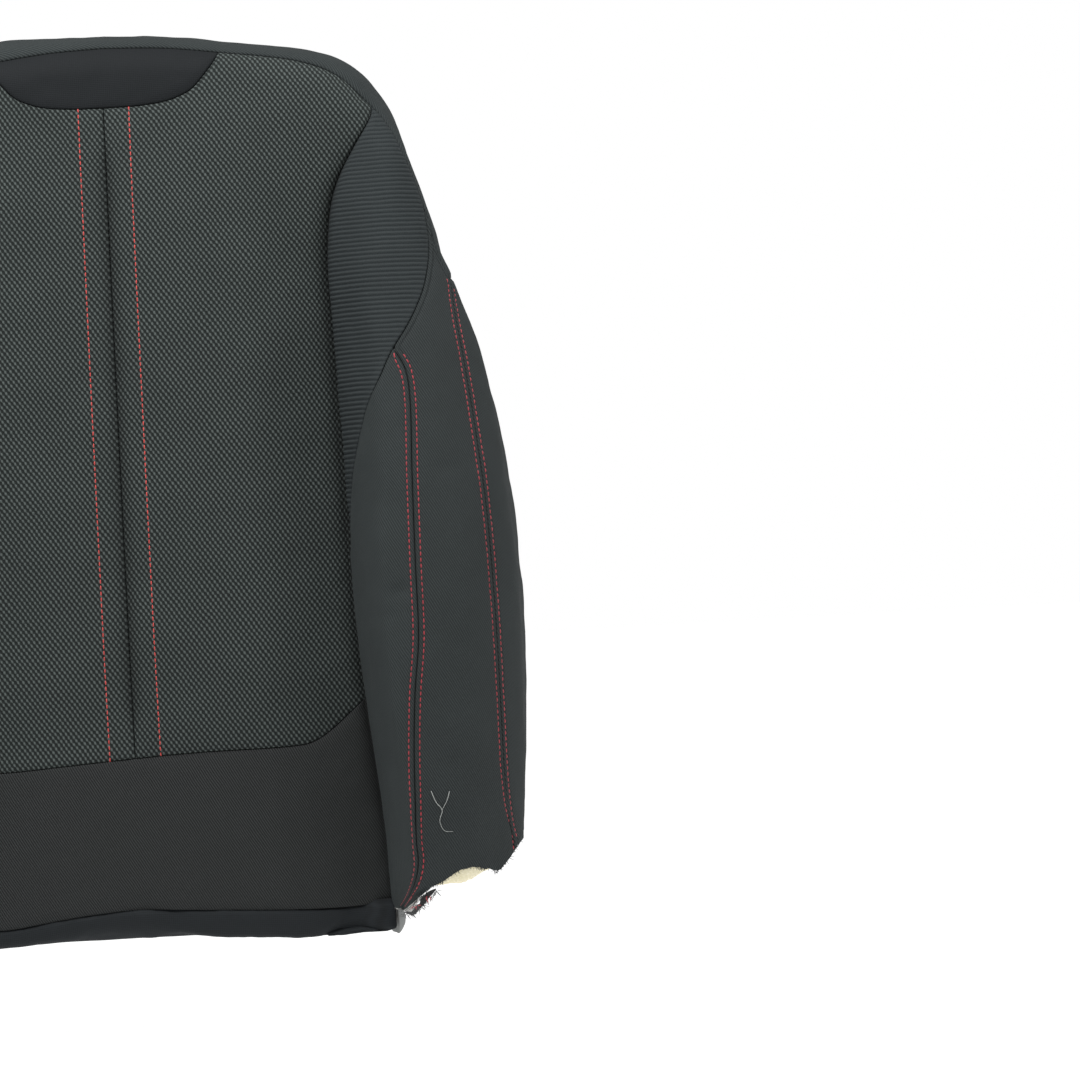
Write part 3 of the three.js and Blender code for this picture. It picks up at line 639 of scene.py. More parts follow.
def finishPiece(name, points, normals, uv, slot, materials, thickness, seamDepth):
    # A sheet of cloth with its cloth coordinates, its thickness, its shading and its seams' depth, which the
    # cloth shaders turn into painted shade.
    mesh = meshOf(name, points)
    obj = placeObject(name, mesh)
    facing = np.empty(len(mesh.polygons) * 3)
    mesh.polygons.foreach_get("normal", facing)
    rows, columns = points.shape[:2]
    wanted = normals[:-1, :-1].reshape(-1, 3)
    if (facing.reshape(-1, 3) * wanted).sum() < 0:
        mesh.flip_normals()
    corners = np.empty(len(mesh.loops), int)
    mesh.loops.foreach_get("vertex_index", corners)
    layer = mesh.uv_layers.new(name="weave")
    layer.data.foreach_set("uv", uv.reshape(-1, 2)[corners].ravel())
    depth = mesh.attributes.new("hollow", "FLOAT", "POINT")
    depth.data.foreach_set("value", seamDepth.ravel().astype(np.float32))
    for made in materials:
        mesh.materials.append(made)
    mesh.polygons.foreach_set("use_smooth", [True] * len(mesh.polygons))
    solid = obj.modifiers.new("thickness", "SOLIDIFY")
    solid.thickness = thickness / 1000
    solid.offset = -1
    solid.use_even_offset = False
    solid.material_offset = len(materials) - 1
    solid.material_offset_rim = len(materials) - 1
    bakeModifiers(obj)
    return obj


def areaOf(points):
    a = np.cross(points[1:, 1:] - points[:-1, :-1], points[1:, :-1] - points[:-1, 1:])
    return np.linalg.norm(a, axis=-1).sum() / 2e6


# Materials. Patterns read the pieces' own cloth coordinates, in mm.


def startMaterial(name):
    material = bpy.data.materials.new(name)
    material.use_nodes = True
    tree = material.node_tree
    tree.nodes.clear()
    surface = add(tree, "ShaderNodeBsdfPrincipled")
    out = add(tree, "ShaderNodeOutputMaterial")
    tree.links.new(surface.outputs[0], out.inputs[0])
    return material, tree, surface


def ripple(tree, place, across, up):
    # A cosine wave over the cloth, with so many waves to a millimetre across and up.
    full = 2 * math.pi
    dot = add(
        tree,
        "ShaderNodeVectorMath",
        {0: place, 1: (across * full, up * full, 0)},
        operation="DOT_PRODUCT",
    ).outputs["Value"]
    return add(tree, "ShaderNodeMath", {0: dot}, operation="COSINE").outputs[0]


def weighed(tree, first, a, second, b, base=0.0):
    one = add(tree, "ShaderNodeMath", {0: first, 1: a, 2: base}, operation="MULTIPLY_ADD").outputs[0]
    return add(tree, "ShaderNodeMath", {0: second, 1: b, 2: one}, operation="MULTIPLY_ADD").outputs[0]


def unevenPlace(tree, size, amount):
    # The cloth coordinates, drawn a little out of line as woven yarns are.
    place = add(tree, "ShaderNodeUVMap", uv_map="weave").outputs[0]
    wander = add(tree, "ShaderNodeTexNoise", {"Vector": place, "Scale": 1 / size, "Detail": 1.0})
    colour = wander.outputs["Color"]
    centred = add(tree, "ShaderNodeVectorMath", {0: colour, 1: (0.5, 0.5, 0.5)}, operation="SUBTRACT")
    scaled = add(tree, "ShaderNodeVectorMath", {0: centred.outputs[0], "Scale": amount}, operation="SCALE")
    moved = add(tree, "ShaderNodeVectorMath", {0: place, 1: scaled.outputs[0]}, operation="ADD")
    return moved.outputs[0]


def fabric(name, look, pattern):
    # Cloth whose raised yarns are lighter than the gaps between them, with the gaps' darker colour as painted
    # shade, and painted shade down in its seams.
    material, tree, surface = startMaterial(name)
    place = unevenPlace(tree, look["wander"], look["wanderBy"])
    weave = pattern(tree, place)
    shaped = add(
        tree,
        "ShaderNodeMapRange",
        {"Value": weave, "From Min": look["valley"], "From Max": look["crown"]},
        interpolation_type="SMOOTHSTEP",
    ).outputs["Result"]
    # the gap colour is painted shade between the raised yarns
    yarn = add(
        tree,
        "ShaderNodeMix",
        {0: shaped, 6: linear(look["gap"]), 7: linear(look["yarn"])},
        data_type="RGBA",
    ).outputs[2]
    spot = add(tree, "ShaderNodeTexCoord").outputs["Object"]
    fuzz = add(tree, "ShaderNodeTexNoise", {"Vector": spot, "Scale": 900.0, "Detail": 3.0}).outputs["Fac"]
    patchy = add(tree, "ShaderNodeTexNoise", {"Vector": spot, "Scale": 22.0, "Detail": 3.0}).outputs["Fac"]
    plain = 1 - (look["fuzz"] + look["patchy"]) / 2
    varied = weighed(tree, fuzz, look["fuzz"], patchy, look["patchy"], plain)
    # painted shade: the cloth's colour darkens with the depth of its seam
    hollow = add(tree, "ShaderNodeAttribute", attribute_name="hollow").outputs["Fac"]
    shade = add(
        tree,
        "ShaderNodeMapRange",
        {"Value": hollow, "To Min": 1.0, "To Max": look["grime"]},
        interpolation_type="SMOOTHSTEP",
    ).outputs["Result"]
    both = add(tree, "ShaderNodeMath", {0: varied, 1: shade}, operation="MULTIPLY").outputs[0]
    colour = add(tree, "ShaderNodeVectorMath", {0: yarn, "Scale": both}, operation="SCALE").outputs[0]
    relief = add(tree, "ShaderNodeMath", {0: fuzz, 1: 0.35, 2: weave}, operation="MULTIPLY_ADD").outputs[0]
    bump = add(
        tree,
        "ShaderNodeBump",
        {"Height": relief, "Strength": look["bump"], "Distance": look["relief"] / 1000},
    ).outputs[0]
    tree.links.new(colour, surface.inputs["Base Color"])
    tree.links.new(bump, surface.inputs["Normal"])
    surface.inputs["Roughness"].default_value = look["roughness"]
    surface.inputs["Sheen Weight"].default_value = look["sheen"]
    surface.inputs["Sheen Roughness"].default_value = 0.45
    surface.inputs["Sheen Tint"].default_value = linear(look["yarn"])
    surface.inputs["Specular IOR Level"].default_value = 0.25
    return material


def clothLook(gap, yarn, **changes):
    # What the cloths share, and what each changes.
    look = {
        "gap": gap,
        "yarn": yarn,
        "valley": 0.1,
        "crown": 0.9,
        "wander": 14.0,  # mm between places where the yarns wander
        "wanderBy": 1.0,  # mm
        "fuzz": 0.3,
        "patchy": 0.12,
        # painted shade at the bottom of a seam
        "grime": 0.5,  # what share of the light comes back from the bottom of a seam
        "bump": 0.8,
        "relief": 0.5,  # mm
        "roughness": 0.88,
        "sheen": 0.15,
    }
    return {**look, **changes}


hopsackLook = {"across": 3.8, "rows": 5.2}  # mm; every second row is set over by half a step


def hopsackWeave(tree, place):
    a, b = 1 / hopsackLook["across"], 1 / hopsackLook["rows"]
    falling = ripple(tree, place, a, b)
    rising = ripple(tree, place, a, -b)
    return weighed(tree, falling, 0.31, rising, 0.19, 0.5)


def twillWeave(tree, place):
    diagonal = ripple(tree, place, 1 / 1.9, 1 / 3.3)
    yarns = ripple(tree, place, 1 / 1.05, -1 / 1.2)
    return weighed(tree, diagonal, 0.36, yarns, 0.14, 0.5)


ribPitch = 3.6  # mm from one rib to the next


def ribWeave(tree, place):
    ribs = ripple(tree, place, 0.0, 1 / ribPitch)
    yarns = ripple(tree, place, 1 / 1.3, 1 / ribPitch)
    return weighed(tree, ribs, 0.4, yarns, 0.1, 0.5)


def plainWeave(tree, place):
    over = ripple(tree, place, 1 / 1.4, 0.0)
    under = ripple(tree, place, 0.0, 1 / 1.4)
    return weighed(tree, over, 0.22, under, 0.22, 0.5)


# Hopsack of spun polyester: rows of pale dots on a dark ground, dull.
hopsack = fabric(
    "hopsack_polyester",
    clothLook("#181d1c", "#525957", valley=0.36, crown=0.96, wanderBy=1.6, relief=0.8, patchy=0.3),
    hopsackWeave,
)
# Ottoman rib: round cords across the piece, with a dark line of painted shade between them.
ottoman = fabric(
    "ottoman_rib",
    clothLook("#1e2325", "#2f3435", valley=0.02, crown=0.6, relief=0.5, sheen=0.1, patchy=0.3),
    ribWeave,
)
# Steep twill: a fine line that falls to the right, with a slight sheen on the round of a bolster.
twill = fabric(
    "steep_twill",
    clothLook("#1f2324", "#343939", valley=0.05, crown=0.95, relief=0.4, sheen=0.3, patchy=0.3),
    twillWeave,
)
innerTwill = fabric(
    "steep_twill_inner",
    clothLook("#202526", "#363b3b", valley=0.05, crown=0.95, relief=0.4, sheen=0.2, patchy=0.3),
    twillWeave,
)
lumbarCloth = fabric(
    "flat_twill",
    clothLook("#161818", "#363838", valley=0.15, crown=0.9, relief=0.4, sheen=0.08),
    twillWeave,
)
# Smooth backing cloth: plain weave, dense and a little shiny.
smoothCloth = fabric(
    "plain_weave_polyester",
    clothLook("#15181a", "#1e2225", relief=0.15, fuzz=0.2, roughness=0.8, sheen=0.05),
    plainWeave,
)
# The yoke: the same cloth dyed a deeper black.
yokeCloth = fabric(
    "plain_weave_deep_black",
    clothLook("#0d1012", "#15191c", relief=0.15, fuzz=0.2, roughness=0.8, sheen=0.05),
    plainWeave,
)
# Reverse of the cover: knitted scrim on its laminated foam, pale grey and dull.
reverse = fabric(
    "laminated_reverse",
    # no painted shade in its seams
    clothLook("#a6a6a3", "#cfcfcb", relief=0.3, grime=1.0, roughness=0.95, sheen=0.0),
    plainWeave,
)


# Back of the apron's cloth: brushed, mid grey.
backing = fabric(
    "brushed_back",
    # no painted shade in its seams
    clothLook("#55585a", "#8b8d8c", relief=0.3, grime=1.0, roughness=0.95, sheen=0.1),
    plainWeave,
)


def spunMaterial(name, dark, light, scale, relief, roughness, sheen=0.0, stretch=(1, 1, 1), metallic=0.0):
    # A finish that is uneven at one size, from an object's own coordinates.
    material, tree, surface = startMaterial(name)
    spot = add(tree, "ShaderNodeTexCoord").outputs["Object"]
    drawn = add(tree, "ShaderNodeMapping", {"Vector": spot, "Scale": stretch}).outputs[0]
    grain = add(tree, "ShaderNodeTexNoise", {"Vector": drawn, "Scale": scale, "Detail": 4.0}).outputs["Fac"]
    broad = add(tree, "ShaderNodeTexNoise", {"Vector": spot, "Scale": 25.0, "Detail": 2.0}).outputs["Fac"]
    both = weighed(tree, grain, 1.1, broad, 0.7, -0.4)
    mixed = {0: both, 6: linear(dark), 7: linear(light)}
    colour = add(tree, "ShaderNodeMix", mixed, data_type="RGBA").outputs[2]
    raised = {"Height": grain, "Strength": 0.7, "Distance": relief / 1000}
    bump = add(tree, "ShaderNodeBump", raised).outputs[0]
    rough = add(
        tree,
        "ShaderNodeMapRange",
        {"Value": grain, "To Min": roughness - 0.08, "To Max": min(1.0, roughness + 0.08)},
    ).outputs["Result"]
    tree.links.new(colour, surface.inputs["Base Color"])
    tree.links.new(bump, surface.inputs["Normal"])
    tree.links.new(rough, surface.inputs["Roughness"])
    surface.inputs["Sheen Weight"].default_value = sheen
    surface.inputs["Metallic"].default_value = metallic
    return material


# Moulded polyurethane foam: cream, with a pored skin and yellower patches.
foamSkin = spunMaterial("moulded_foam_skin", "#cdbf94", "#efe7cb", 420.0, 0.5, 0.92, 0.1)
# Torn foam: the same without its skin, open and rough.
tornFoam = spunMaterial("torn_foam", "#d8cfa8", "#f4eed8", 700.0, 1.2, 0.95, 0.1)
# Needled felt: short pale fibres pressed flat.
felt = spunMaterial("needled_felt", "#b5b4ac", "#deddd6", 900.0, 0.5, 0.95, 0.2, (1, 1, 0.25))
# Carded fleece wadding: soft white fibres, greyed with painted shade.
fleece = spunMaterial("white_fleece", "#c9c7c4", "#f3f2f0", 1100.0, 1.0, 0.95, 0.3)
# Bonded polyester thread, twisted: brick red on the dark cloth, darker between its turns.
brickThread = spunMaterial("brick_red_thread", "#94201f", "#e0504a", 1500.0, 0.25, 0.6, 0.2)
darkRedThread = spunMaterial("deep_red_thread", "#701620", "#b82f3c", 1500.0, 0.25, 0.6, 0.2)
greyThread = spunMaterial("loose_grey_yarn", "#6f7371", "#b9bcb8", 1500.0, 0.2, 0.8, 0.2)
blackThread = spunMaterial("loose_black_yarn", "#0e0f10", "#2c2f30", 1500.0, 0.2, 0.8, 0.2)
# Extruded polypropylene: black, with fine lines along its length and a soft shine.
blackPlastic = spunMaterial("extruded_polypropylene", "#141516", "#242627", 300.0, 0.12, 0.45)
# Sleeve cloth: thin black non-woven.
sleeveFelt = spunMaterial("spunbonded_sleeve", "#1b1c1d", "#313334", 900.0, 0.2, 0.9, 0.1)
# Nylon rod: off-white and slightly clear, drawn along its length.
nylon = spunMaterial("drawn_nylon_rod", "#c6c5bc", "#e6e5de", 500.0, 0.06, 0.4, 0.0, (1, 1, 0.1))
# Zinc-plated spring wire: grey metal with drawing lines and dull spots.
zincWire = spunMaterial("zinc_plated_wire", "#8b9094", "#bfc4c8", 600.0, 0.05, 0.35, 0.0, (1, 1, 0.1), 1.0)
print("materials made")


# The sewn panels of the front

waistZ = 0.42 * height
cornerZ = 0.916 * height
noseTopZ = 0.638 * height
yokeHalf = 0.295 * halfWidth


def tornEdge(side):
    # The ragged lower edge of a bolster's cover.
    def edge(x):
        a = np.abs(x)
        points = np.stack([a, 0 * a + side * 40, 0 * a], axis=-1)
        return cutZ(a) + 1.6 * mottle(points, 9, 3) + 0.9 * mottle(points, 2.6, 8, 1)

    return edge


def centreTop(x):
    a = np.abs(x)
    return np.where(a < yokeHalf, np.minimum(yokeSeamZ(a), insetZ(a)), insetZ(a))


def panel(name, side, **given):
    # A panel's pattern: what most panels share, then its own edges, seams and cloth.
    shared = {"near": seamLines, "far": seamLines, "nearLow": seamLines, "nearHigh": seamLines}
    return {"name": name, "side": side, "rows": (), "grain": 0.0, **shared, **given}


def panelParts():
    loose = {"nearLow": freeLines, "nearHigh": freeLines}
    for name, side in (("left", -1), ("right", 1)):
        torn = tornEdge(side)
        yield panel(
            "centre_panel_" + name,
            side,
            span=(0.18 * height, 0.99 * height),
            left=lambda z: 0 * z,
            right=lambda z: trenchX(np.minimum(z, cornerZ)),
            low=lumbarSeamZ,
            high=centreTop,
            near=tieLines,
            seams=(tiedSeam, trenchSeam, "plain", "plain"),
            rows=(("left", stitching["channel"], "brick", None),),
            slot="hopsack_cloth",
            material=hopsack,
            foam="foam_centre",
        )
        yield panel(
            "shoulder_gusset_" + name,
            side,
            span=(waistZ, cornerZ),
            left=trenchX,
            right=lambda z: np.minimum(shoulderSeamX(z), insetX(z)),
            low=lambda x: waistZ + 0 * x,
            high=lambda x: cornerZ + 0 * x,
            rowStep=0.9,
            seams=(trenchSeam, shoulderSeam, "free", "free"),
            grain=190.0,
            slot="ribbed_cloth",
            material=ottoman,
            foam="foam_bolster_" + name,
            **loose,
        )
        yield panel(
            "bolster_inner_" + name,
            side,
            span=(0.015 * height, noseTopZ),
            left=lambda z: np.where(z > waistZ, np.maximum(trenchX(z), shoulderSeamX(z)), trenchX(z)),
            right=noseSeamX,
            low=torn,
            high=lambda x: noseTopZ + 0 * x,
            far=stitchedLines,
            seams=(shoulderSeam, "felled", "free", "free"),
            rows=(("right", stitching["twin"], "deep", noseTopZ - 4),),
            grain=190.0,
            slot="twill_cloth",
            material=innerTwill,
            foam="foam_bolster_" + name,
            **loose,
        )
        yield panel(
            "bolster_face_" + name,
            side,
            span=(0.03 * height, 0.79 * height),
            left=lambda z: np.where(z > noseTopZ, shoulderSeamX(z), noseSeamX(z)),
            right=lambda z: np.minimum(outerSeamX(z), insetX(z)),
            low=torn,
            high=lambda x: 0.79 * height + 0 * x,
            near=stitchedLines,
            far=stitchedLines,
            seams=("felled", "felled", "free", "free"),
            rows=(
                ("left", stitching["twin"], "deep", noseTopZ - 4),
                ("right", stitching["twin"], "deep", 0.714 * height),
            ),
            grain=225.0,
            slot="twill_cloth",
            material=twill,
            foam="foam_bolster_" + name,
            **loose,
        )
    yield panel(
        "yoke_panel",
        1,
        span=(0.92 * height, 0.998 * height),
        left=lambda z: 0 * z - yokeHalf,
        right=lambda z: 0 * z + yokeHalf,
        low=lambda x: np.minimum(yokeSeamZ(np.abs(x)), insetZ(x)),
        high=insetZ,
        seams=("free", "free", "plain", "plain"),
        slot="smooth_cloth",
        material=yokeCloth,
        foam="foam_centre",
    )
    yield panel(
        "lumbar_panel",
        1,
        span=(0.01 * height, 0.27 * height),
        left=lambda z: -trenchX(z),
        right=trenchX,
        low=apronSeamZ,
        high=lumbarSeamZ,
        seams=(trenchSeam, trenchSeam, "plain", "plain"),
        slot="twill_cloth",
        material=lumbarCloth,
        foam="foam_centre",
    )


panelLook = {
    "thickness": 2.0,
    "wrinkle": 0.9,  # mm
    "pucker": 0.55,  # mm, along seams
    "puckerEvery": 13.0,  # mm
    "wrinkleEvery": 46.0,  # mm
    "calm": 8.0,  # mm from a seam within which the cloth lies smooth
    "groove": 0.75,  # how deep a stitch row draws the cloth in, mm
    "grooveWidth": 0.8,  # mm
    "ridge": 0.35,  # how far the cloth stands up between a seam and its stitch row, mm
    "rib": 0.4,  # how far a rib stands up, mm
    # a seam this deep gets the full painted shade
    "shaded": 4.0,  # a seam this deep, mm, is darkest
}


edges = ("left", "right", "low", "high")


def seamValleys(part, grid):
    # How far the cloth is drawn in at its seams, and puckers that run out from them.
    valleys, pucker = 0, 0
    for edge, seam in zip(edges, part["seams"]):
        shape = seam(grid["z"]) if callable(seam) else seams[seam]
        valleys = valleys + dip(grid[edge], shape) ** 4
        if seam != "free":
            pucker = pucker + np.exp(-grid[edge] / 12) * (1 - np.exp(-grid[edge] / 2.5))
    return valleys**0.25, pucker


# Creases that the foam's torn end leaves: place (mm from the middle and above the base), size and depth.
dents = {
    "bolster_inner": ((199, 244, 7, 4, 1.8), (190, 226, 9, 4, 0.9), (186, 118, 6, 16, 0.8)),
    "bolster_face": ((236, 330, 10, 5, 0.9), (243, 205, 9, 7, 0.8), (231, 120, 12, 6, 0.8)),
    "shoulder_gusset": ((176, 430, 8, 20, 0.7),),
}


def creases(part, grid):
    # Dents in a panel, and fine upright pulls in the cloth just above a torn end.
    x, z = np.abs(grid["x"]), grid["z"]
    kind = part["name"].rsplit("_", 1)[0]
    drawn = 0 * x
    for across, up, wide, tall, deep in dents.get(kind, ()):
        drawn = drawn - deep * bell(x, across, wide) * bell(z, up, tall)
    if kind == "bolster_inner":
        fade = (1 - smoothstep(z, 38, 62)) * smoothstep(grid["left"], 1, 5) * smoothstep(grid["right"], 5, 10)
        drawn = drawn + 0.32 * fade * np.cos(2 * math.pi * grid["left"] / 3.4 + 0.6 * np.sin(z / 9))
    return drawn


def sewPanel(part, seed):
    grid = solvePanel(part)
    x, z = grid["x"], grid["z"]
    points, normals = frontGrid(x, z), frontNormal(x, z)
    valleys, pucker = seamValleys(part, grid)
    lift = puff(part["name"], points, normals) - valleys
    clear = 1 - np.exp(-np.minimum.reduce([grid[e] for e in edges]) / panelLook["calm"])
    lift = lift + panelLook["wrinkle"] * mottle(points, panelLook["wrinkleEvery"], seed) * clear
    lift = lift + panelLook["pucker"] * pucker * mottle(points, panelLook["puckerEvery"], seed + 20, 2)
    lift = lift + creases(part, grid)
    for edge, distance, _, _ in part["rows"]:
        d = grid[edge]
        lift = lift - panelLook["groove"] * bell(d, distance, panelLook["grooveWidth"])
        lift = lift + panelLook["ridge"] * bell(d, 0.55 * distance, 0.25 * distance)
    if "rowStep" in part:
        up = weaveMap(part["side"] * x, z, part["grain"])[..., 1]
        fromSeams = np.minimum(grid["left"], grid["right"])
        ribs = np.cos(2 * math.pi * up / ribPitch)
        lift = lift + panelLook["rib"] * smoothstep(fromSeams, 1.0, 6.0) * ribs
    final = points + normals * lift[..., None]
    side = part["side"]
    uv = weaveMap(side * x, z, part["grain"])
    longer = side * (arcs(final) - arcs(points))
    uv[..., 0] += longer - longer[:, longer.shape[1] // 2, None]
    uv[..., 0] *= side
    # painted shade in the seams, darker the deeper the seam
    hollow = np.clip(valleys / panelLook["shaded"], 0, 1)
    faces = [part["material"], reverse]
    name, thickness = part["name"], panelLook["thickness"]
    obj = finishPiece(name + "_cloth", final, normals, uv, part["slot"], faces, thickness, hollow)
    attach(obj, "pad")
    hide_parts(name)
    flatSize(points)
    for edge, distance, thread, below in part["rows"]:
        keepRow(part, grid, final, normals, edge, distance, thread, below)
    return final


def flatSize(points):
    # The rectangle that a piece is cut from: its greatest width, and its area over that width.
    width = np.linalg.norm(np.diff(points, axis=1), axis=2).sum(axis=1).max() / 1000
    return (float(width), float(areaOf(points) / width))


def keepRow(part, grid, final, normals, edge, distance, thread, below):
    lines = part["near"] if edge == "left" else part["far"]
    column = lines.index(distance)
    column = column if edge == "left" else -1 - column
    keep = slice(2, -2)
    line, up, z = final[keep, column], normals[keep, column], grid["z"][keep, column]
    if below is not None:
        line, up = line[z < below], up[z < below]
    rowName = f"{thread}_{'left' if part['side'] < 0 else 'right'}"
    stitchRows.setdefault(rowName, []).append((line, up))


panels = {}
for seed, part in enumerate(panelParts()):
    panels[part["name"]] = sewPanel(part, seed)
print("panels sewn")


# Sides and top rim: from the front seam over the rolled edge to the hem behind

edgeLook = {
    "thickness": 2.0,
    "across": 150.0,  # mm, the widest edge piece
    "hemBend": 5.0,  # mm, radius of the turn into the hem
    "step": 4.0,
    "wrinkle": 1.0,
    "wrinkleEvery": 40,  # mm
    "tornReach": 30,  # mm above the cut within which the rows lean with it
    # a seam this deep gets the full painted shade
    "shaded": 5.0,  # a seam this deep, mm, is darkest
}
swelling = {
    "base": -1.8,  # mm
    "rim": 8.0,
    "shoulders": 3.0,
    "crown": 1.2,
    "oneSide": 7.0,
    "sides": -3.5,
    "waist": -5.0,
    "rimReach": 75,  # mm from the front seam to where the swelling ends
    "sideReach": 185,
}
rimEndShare = float(np.interp(-0.716 * height, -outline[:, 1], shares))


def rearAt(z):
    return lerp(sideReach, topReach, smoothstep(z / height, 0.8, 0.95))


def atOutline(share):
    p = np.stack([np.interp(share, shares, outline[:, k]) for k in (0, 1)], axis=-1)
    way = np.stack([np.interp(share, shares, inwardWay[:, k]) for k in (0, 1)], axis=-1)
    return p, way


def seamInset(share):
    # How far inside the outline the outer seam runs, square to the outline.
    p, way = atOutline(share)
    inset = np.maximum(p[..., 0] - outerSeamX(p[..., 1]), cover["rimInset"])
    for _ in range(6):
        q = p + way * inset[..., None]
        inset = np.maximum(inset + (q[..., 0] - outerSeamX(q[..., 1])) * 0.9, cover["rimInset"])
    return inset


def edgePath(share, inset):
    # One cross-section: dense points from the seam over the roll, down the side and round the hem.
    p, way = atOutline(share)
    roll = rollAt(p[1])
    start = math.acos(min(max(1 - inset / roll, 0), 1))
    limb = plainFront(p[0], p[1]) + roll
    rear = rearAt(p[1])
    bend = edgeLook["hemBend"]
    turns = np.linspace(start, 0, 40)
    over = np.stack([roll * (1 - np.cos(turns)), turns], axis=1)
    q = p + way * over[:, :1]
    front = plainFront(q[:, 0], q[:, 1]) + roll * (1 - np.sin(turns))
    down = np.linspace(limb, rear - bend, 30)[1:]
    quarter = np.linspace(0, math.pi / 2, 12)[1:]
    insets = np.concatenate([over[:, 0], 0 * down, bend * (1 - np.cos(quarter)), [cover["hem"] + 1]])
    ys = np.concatenate([front, down, rear - bend + bend * np.sin(quarter), [rear]])
    return p, way, insets, ys


def edgeGridOf(shareRows, insetRows, lines):
    # Rows of points across the rolled edge, one for each place along the outline.
    rows = []
    for share, inset in zip(shareRows, insetRows):
        p, way, insets, ys = edgePath(abs(share), inset)
        along = np.concatenate([[0], np.cumsum(np.hypot(np.diff(insets), np.diff(ys)))])
        at = placed(lines, along[-1])
        q = p + way * np.interp(at, along, insets)[:, None]
        side = -1 if share < 0 else 1
        rows.append(np.stack([side * q[:, 0], np.interp(at, along, ys), q[:, 1] + baseZ], axis=-1))
    return np.array(rows)


def gridNormals(points, outwards):
    n = unit(np.cross(np.gradient(points, axis=0), np.gradient(points, axis=1)))
    return n * np.where((n * outwards).sum() < 0, -1, 1)


def swell(shareRows, fromSeam):
    # How far the foam pushes the edge out past the outline, most at the shoulders and at one side of
    # the top; along the bolsters' sides the cover is pulled in instead.
    x, z = (np.interp(np.abs(shareRows), shares, outline[:, k]) for k in (0, 1))
    x = x * np.sign(shareRows)
    up = z / height
    rim = lerp(swelling["base"], swelling["rim"], smoothstep(up, 0.82, 0.95))
    rim = rim + swelling["shoulders"] * bell(up, 0.94, 0.03) + swelling["crown"] * bell(x, 0, 0.4 * halfWidth)
    rim = rim + swelling["oneSide"] * bell(x, -80, 42)
    pulled = swelling["sides"] + swelling["waist"] * bell(up, 0.5, 0.13)
    along = smoothstep(z, 0.7 * height, 0.78 * height)
    most = lerp(pulled, rim, along)[:, None]
    reach = lerp(swelling["sideReach"], swelling["rimReach"], along)[:, None]
    return most * np.sin(math.pi * np.clip(fromSeam / reach, 0, 1)) ** 0.9


def edgePiece(name, cadNode, shareRows, insetRows, near, side, seed, slot, material, cutLow):
    lines = stations(edgeLook["across"], edgeLook["step"], near, freeLines)
    points = edgeGridOf(shareRows, insetRows, lines)
    centre = np.array([0, 20, 0])
    normals = gridNormals(points, points - centre)
    uv = np.zeros(points.shape[:2] + (2,))
    uv[..., 0] = arcs(points)
    middle = points.shape[1] // 2
    uv[..., 1] = np.concatenate(
        [[0], np.cumsum(np.linalg.norm(np.diff(points[:, middle], axis=0), axis=1))]
    )[:, None]
    fromSeam = arcs(points)
    alongPiece = uv[..., 1]
    valleys = dip(fromSeam, seams["felled"]) ** 4 + dip(alongPiece[-1] - alongPiece, seams["butt"]) ** 4
    if not cutLow:
        valleys = valleys + dip(alongPiece, seams["butt"]) ** 4
    valleys = valleys**0.25
    pucker = np.exp(-fromSeam / 12) * (1 - np.exp(-fromSeam / 2.5))
    clear = 1 - np.exp(-fromSeam / panelLook["calm"])
    lift = puff(name, points, normals) - valleys
    lift = lift + edgeLook["wrinkle"] * mottle(points, edgeLook["wrinkleEvery"], seed) * clear
    lift = lift + panelLook["pucker"] * pucker * mottle(points, panelLook["puckerEvery"], seed + 20, 2)
    stitched = near is stitchedLines
    if stitched:
        lift = lift - panelLook["groove"] * bell(fromSeam, stitching["twin"], panelLook["grooveWidth"])
    lift = lift + swell(shareRows, fromSeam)
    if cutLow:
        # the torn end follows the ragged line, steepest at the outline
        reach = np.exp(-alongPiece / edgeLook["tornReach"])
        ragged = tornEdge(side)(np.minimum(np.abs(points[..., 0]), halfWidth)) + baseZ
        points = points + np.stack([0 * reach, 0 * reach, reach * (ragged - points[0, :, 2])], axis=-1)
    final = points + normals * lift[..., None]
    # painted shade in the seams, darker the deeper the seam
    hollow = np.clip(valleys / edgeLook["shaded"], 0, 1)
    faces = [material, reverse]
    obj = finishPiece(name, final, normals, uv, slot, faces, edgeLook["thickness"], hollow)
    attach(obj, "pad")
    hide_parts(cadNode)
    flatSize(points)
    if stitched:
        column = near.index(stitching["twin"])
        rowName = f"deep_{'left' if side < 0 else 'right'}"
        stitchRows.setdefault(rowName, []).append((final[2:-3, column], normals[2:-3, column]))
    return final


outlineLength = float(np.linalg.norm(np.diff(outline, axis=0), axis=1).sum())
cutShare = float(np.interp(-0.1 * height, -outline[:, 1], shares))
for name, side in (("left", -1), ("right", 1)):
    count = math.ceil((cutShare - rimEndShare) * outlineLength / 3.2)
    along = np.linspace(cutShare, rimEndShare, count)
    panels["bolster_side_" + name] = edgePiece(
        "bolster_side_" + name + "_cloth",
        "bolster_side_" + name,
        side * along,
        seamInset(along),
        stitchedLines,
        side,
        40 + side,
        "twill_cloth",
        twill,
        True,
    )
rimCount = math.ceil(2 * rimEndShare * outlineLength / 3.2) | 1
rimShares = np.linspace(-rimEndShare, rimEndShare, rimCount)
panels["top_rim_panel"] = edgePiece(
    "top_rim_cloth",
    "top_rim_panel",
    rimShares,
    np.full(rimCount, cover["rimInset"]),
    seamLines,
    1,
    50,
    "twill_cloth",
    innerTwill,
    False,
)
print("sides and rim sewn")


# The apron under the lower edge, its tail folded back beneath the foam, and the flaps behind

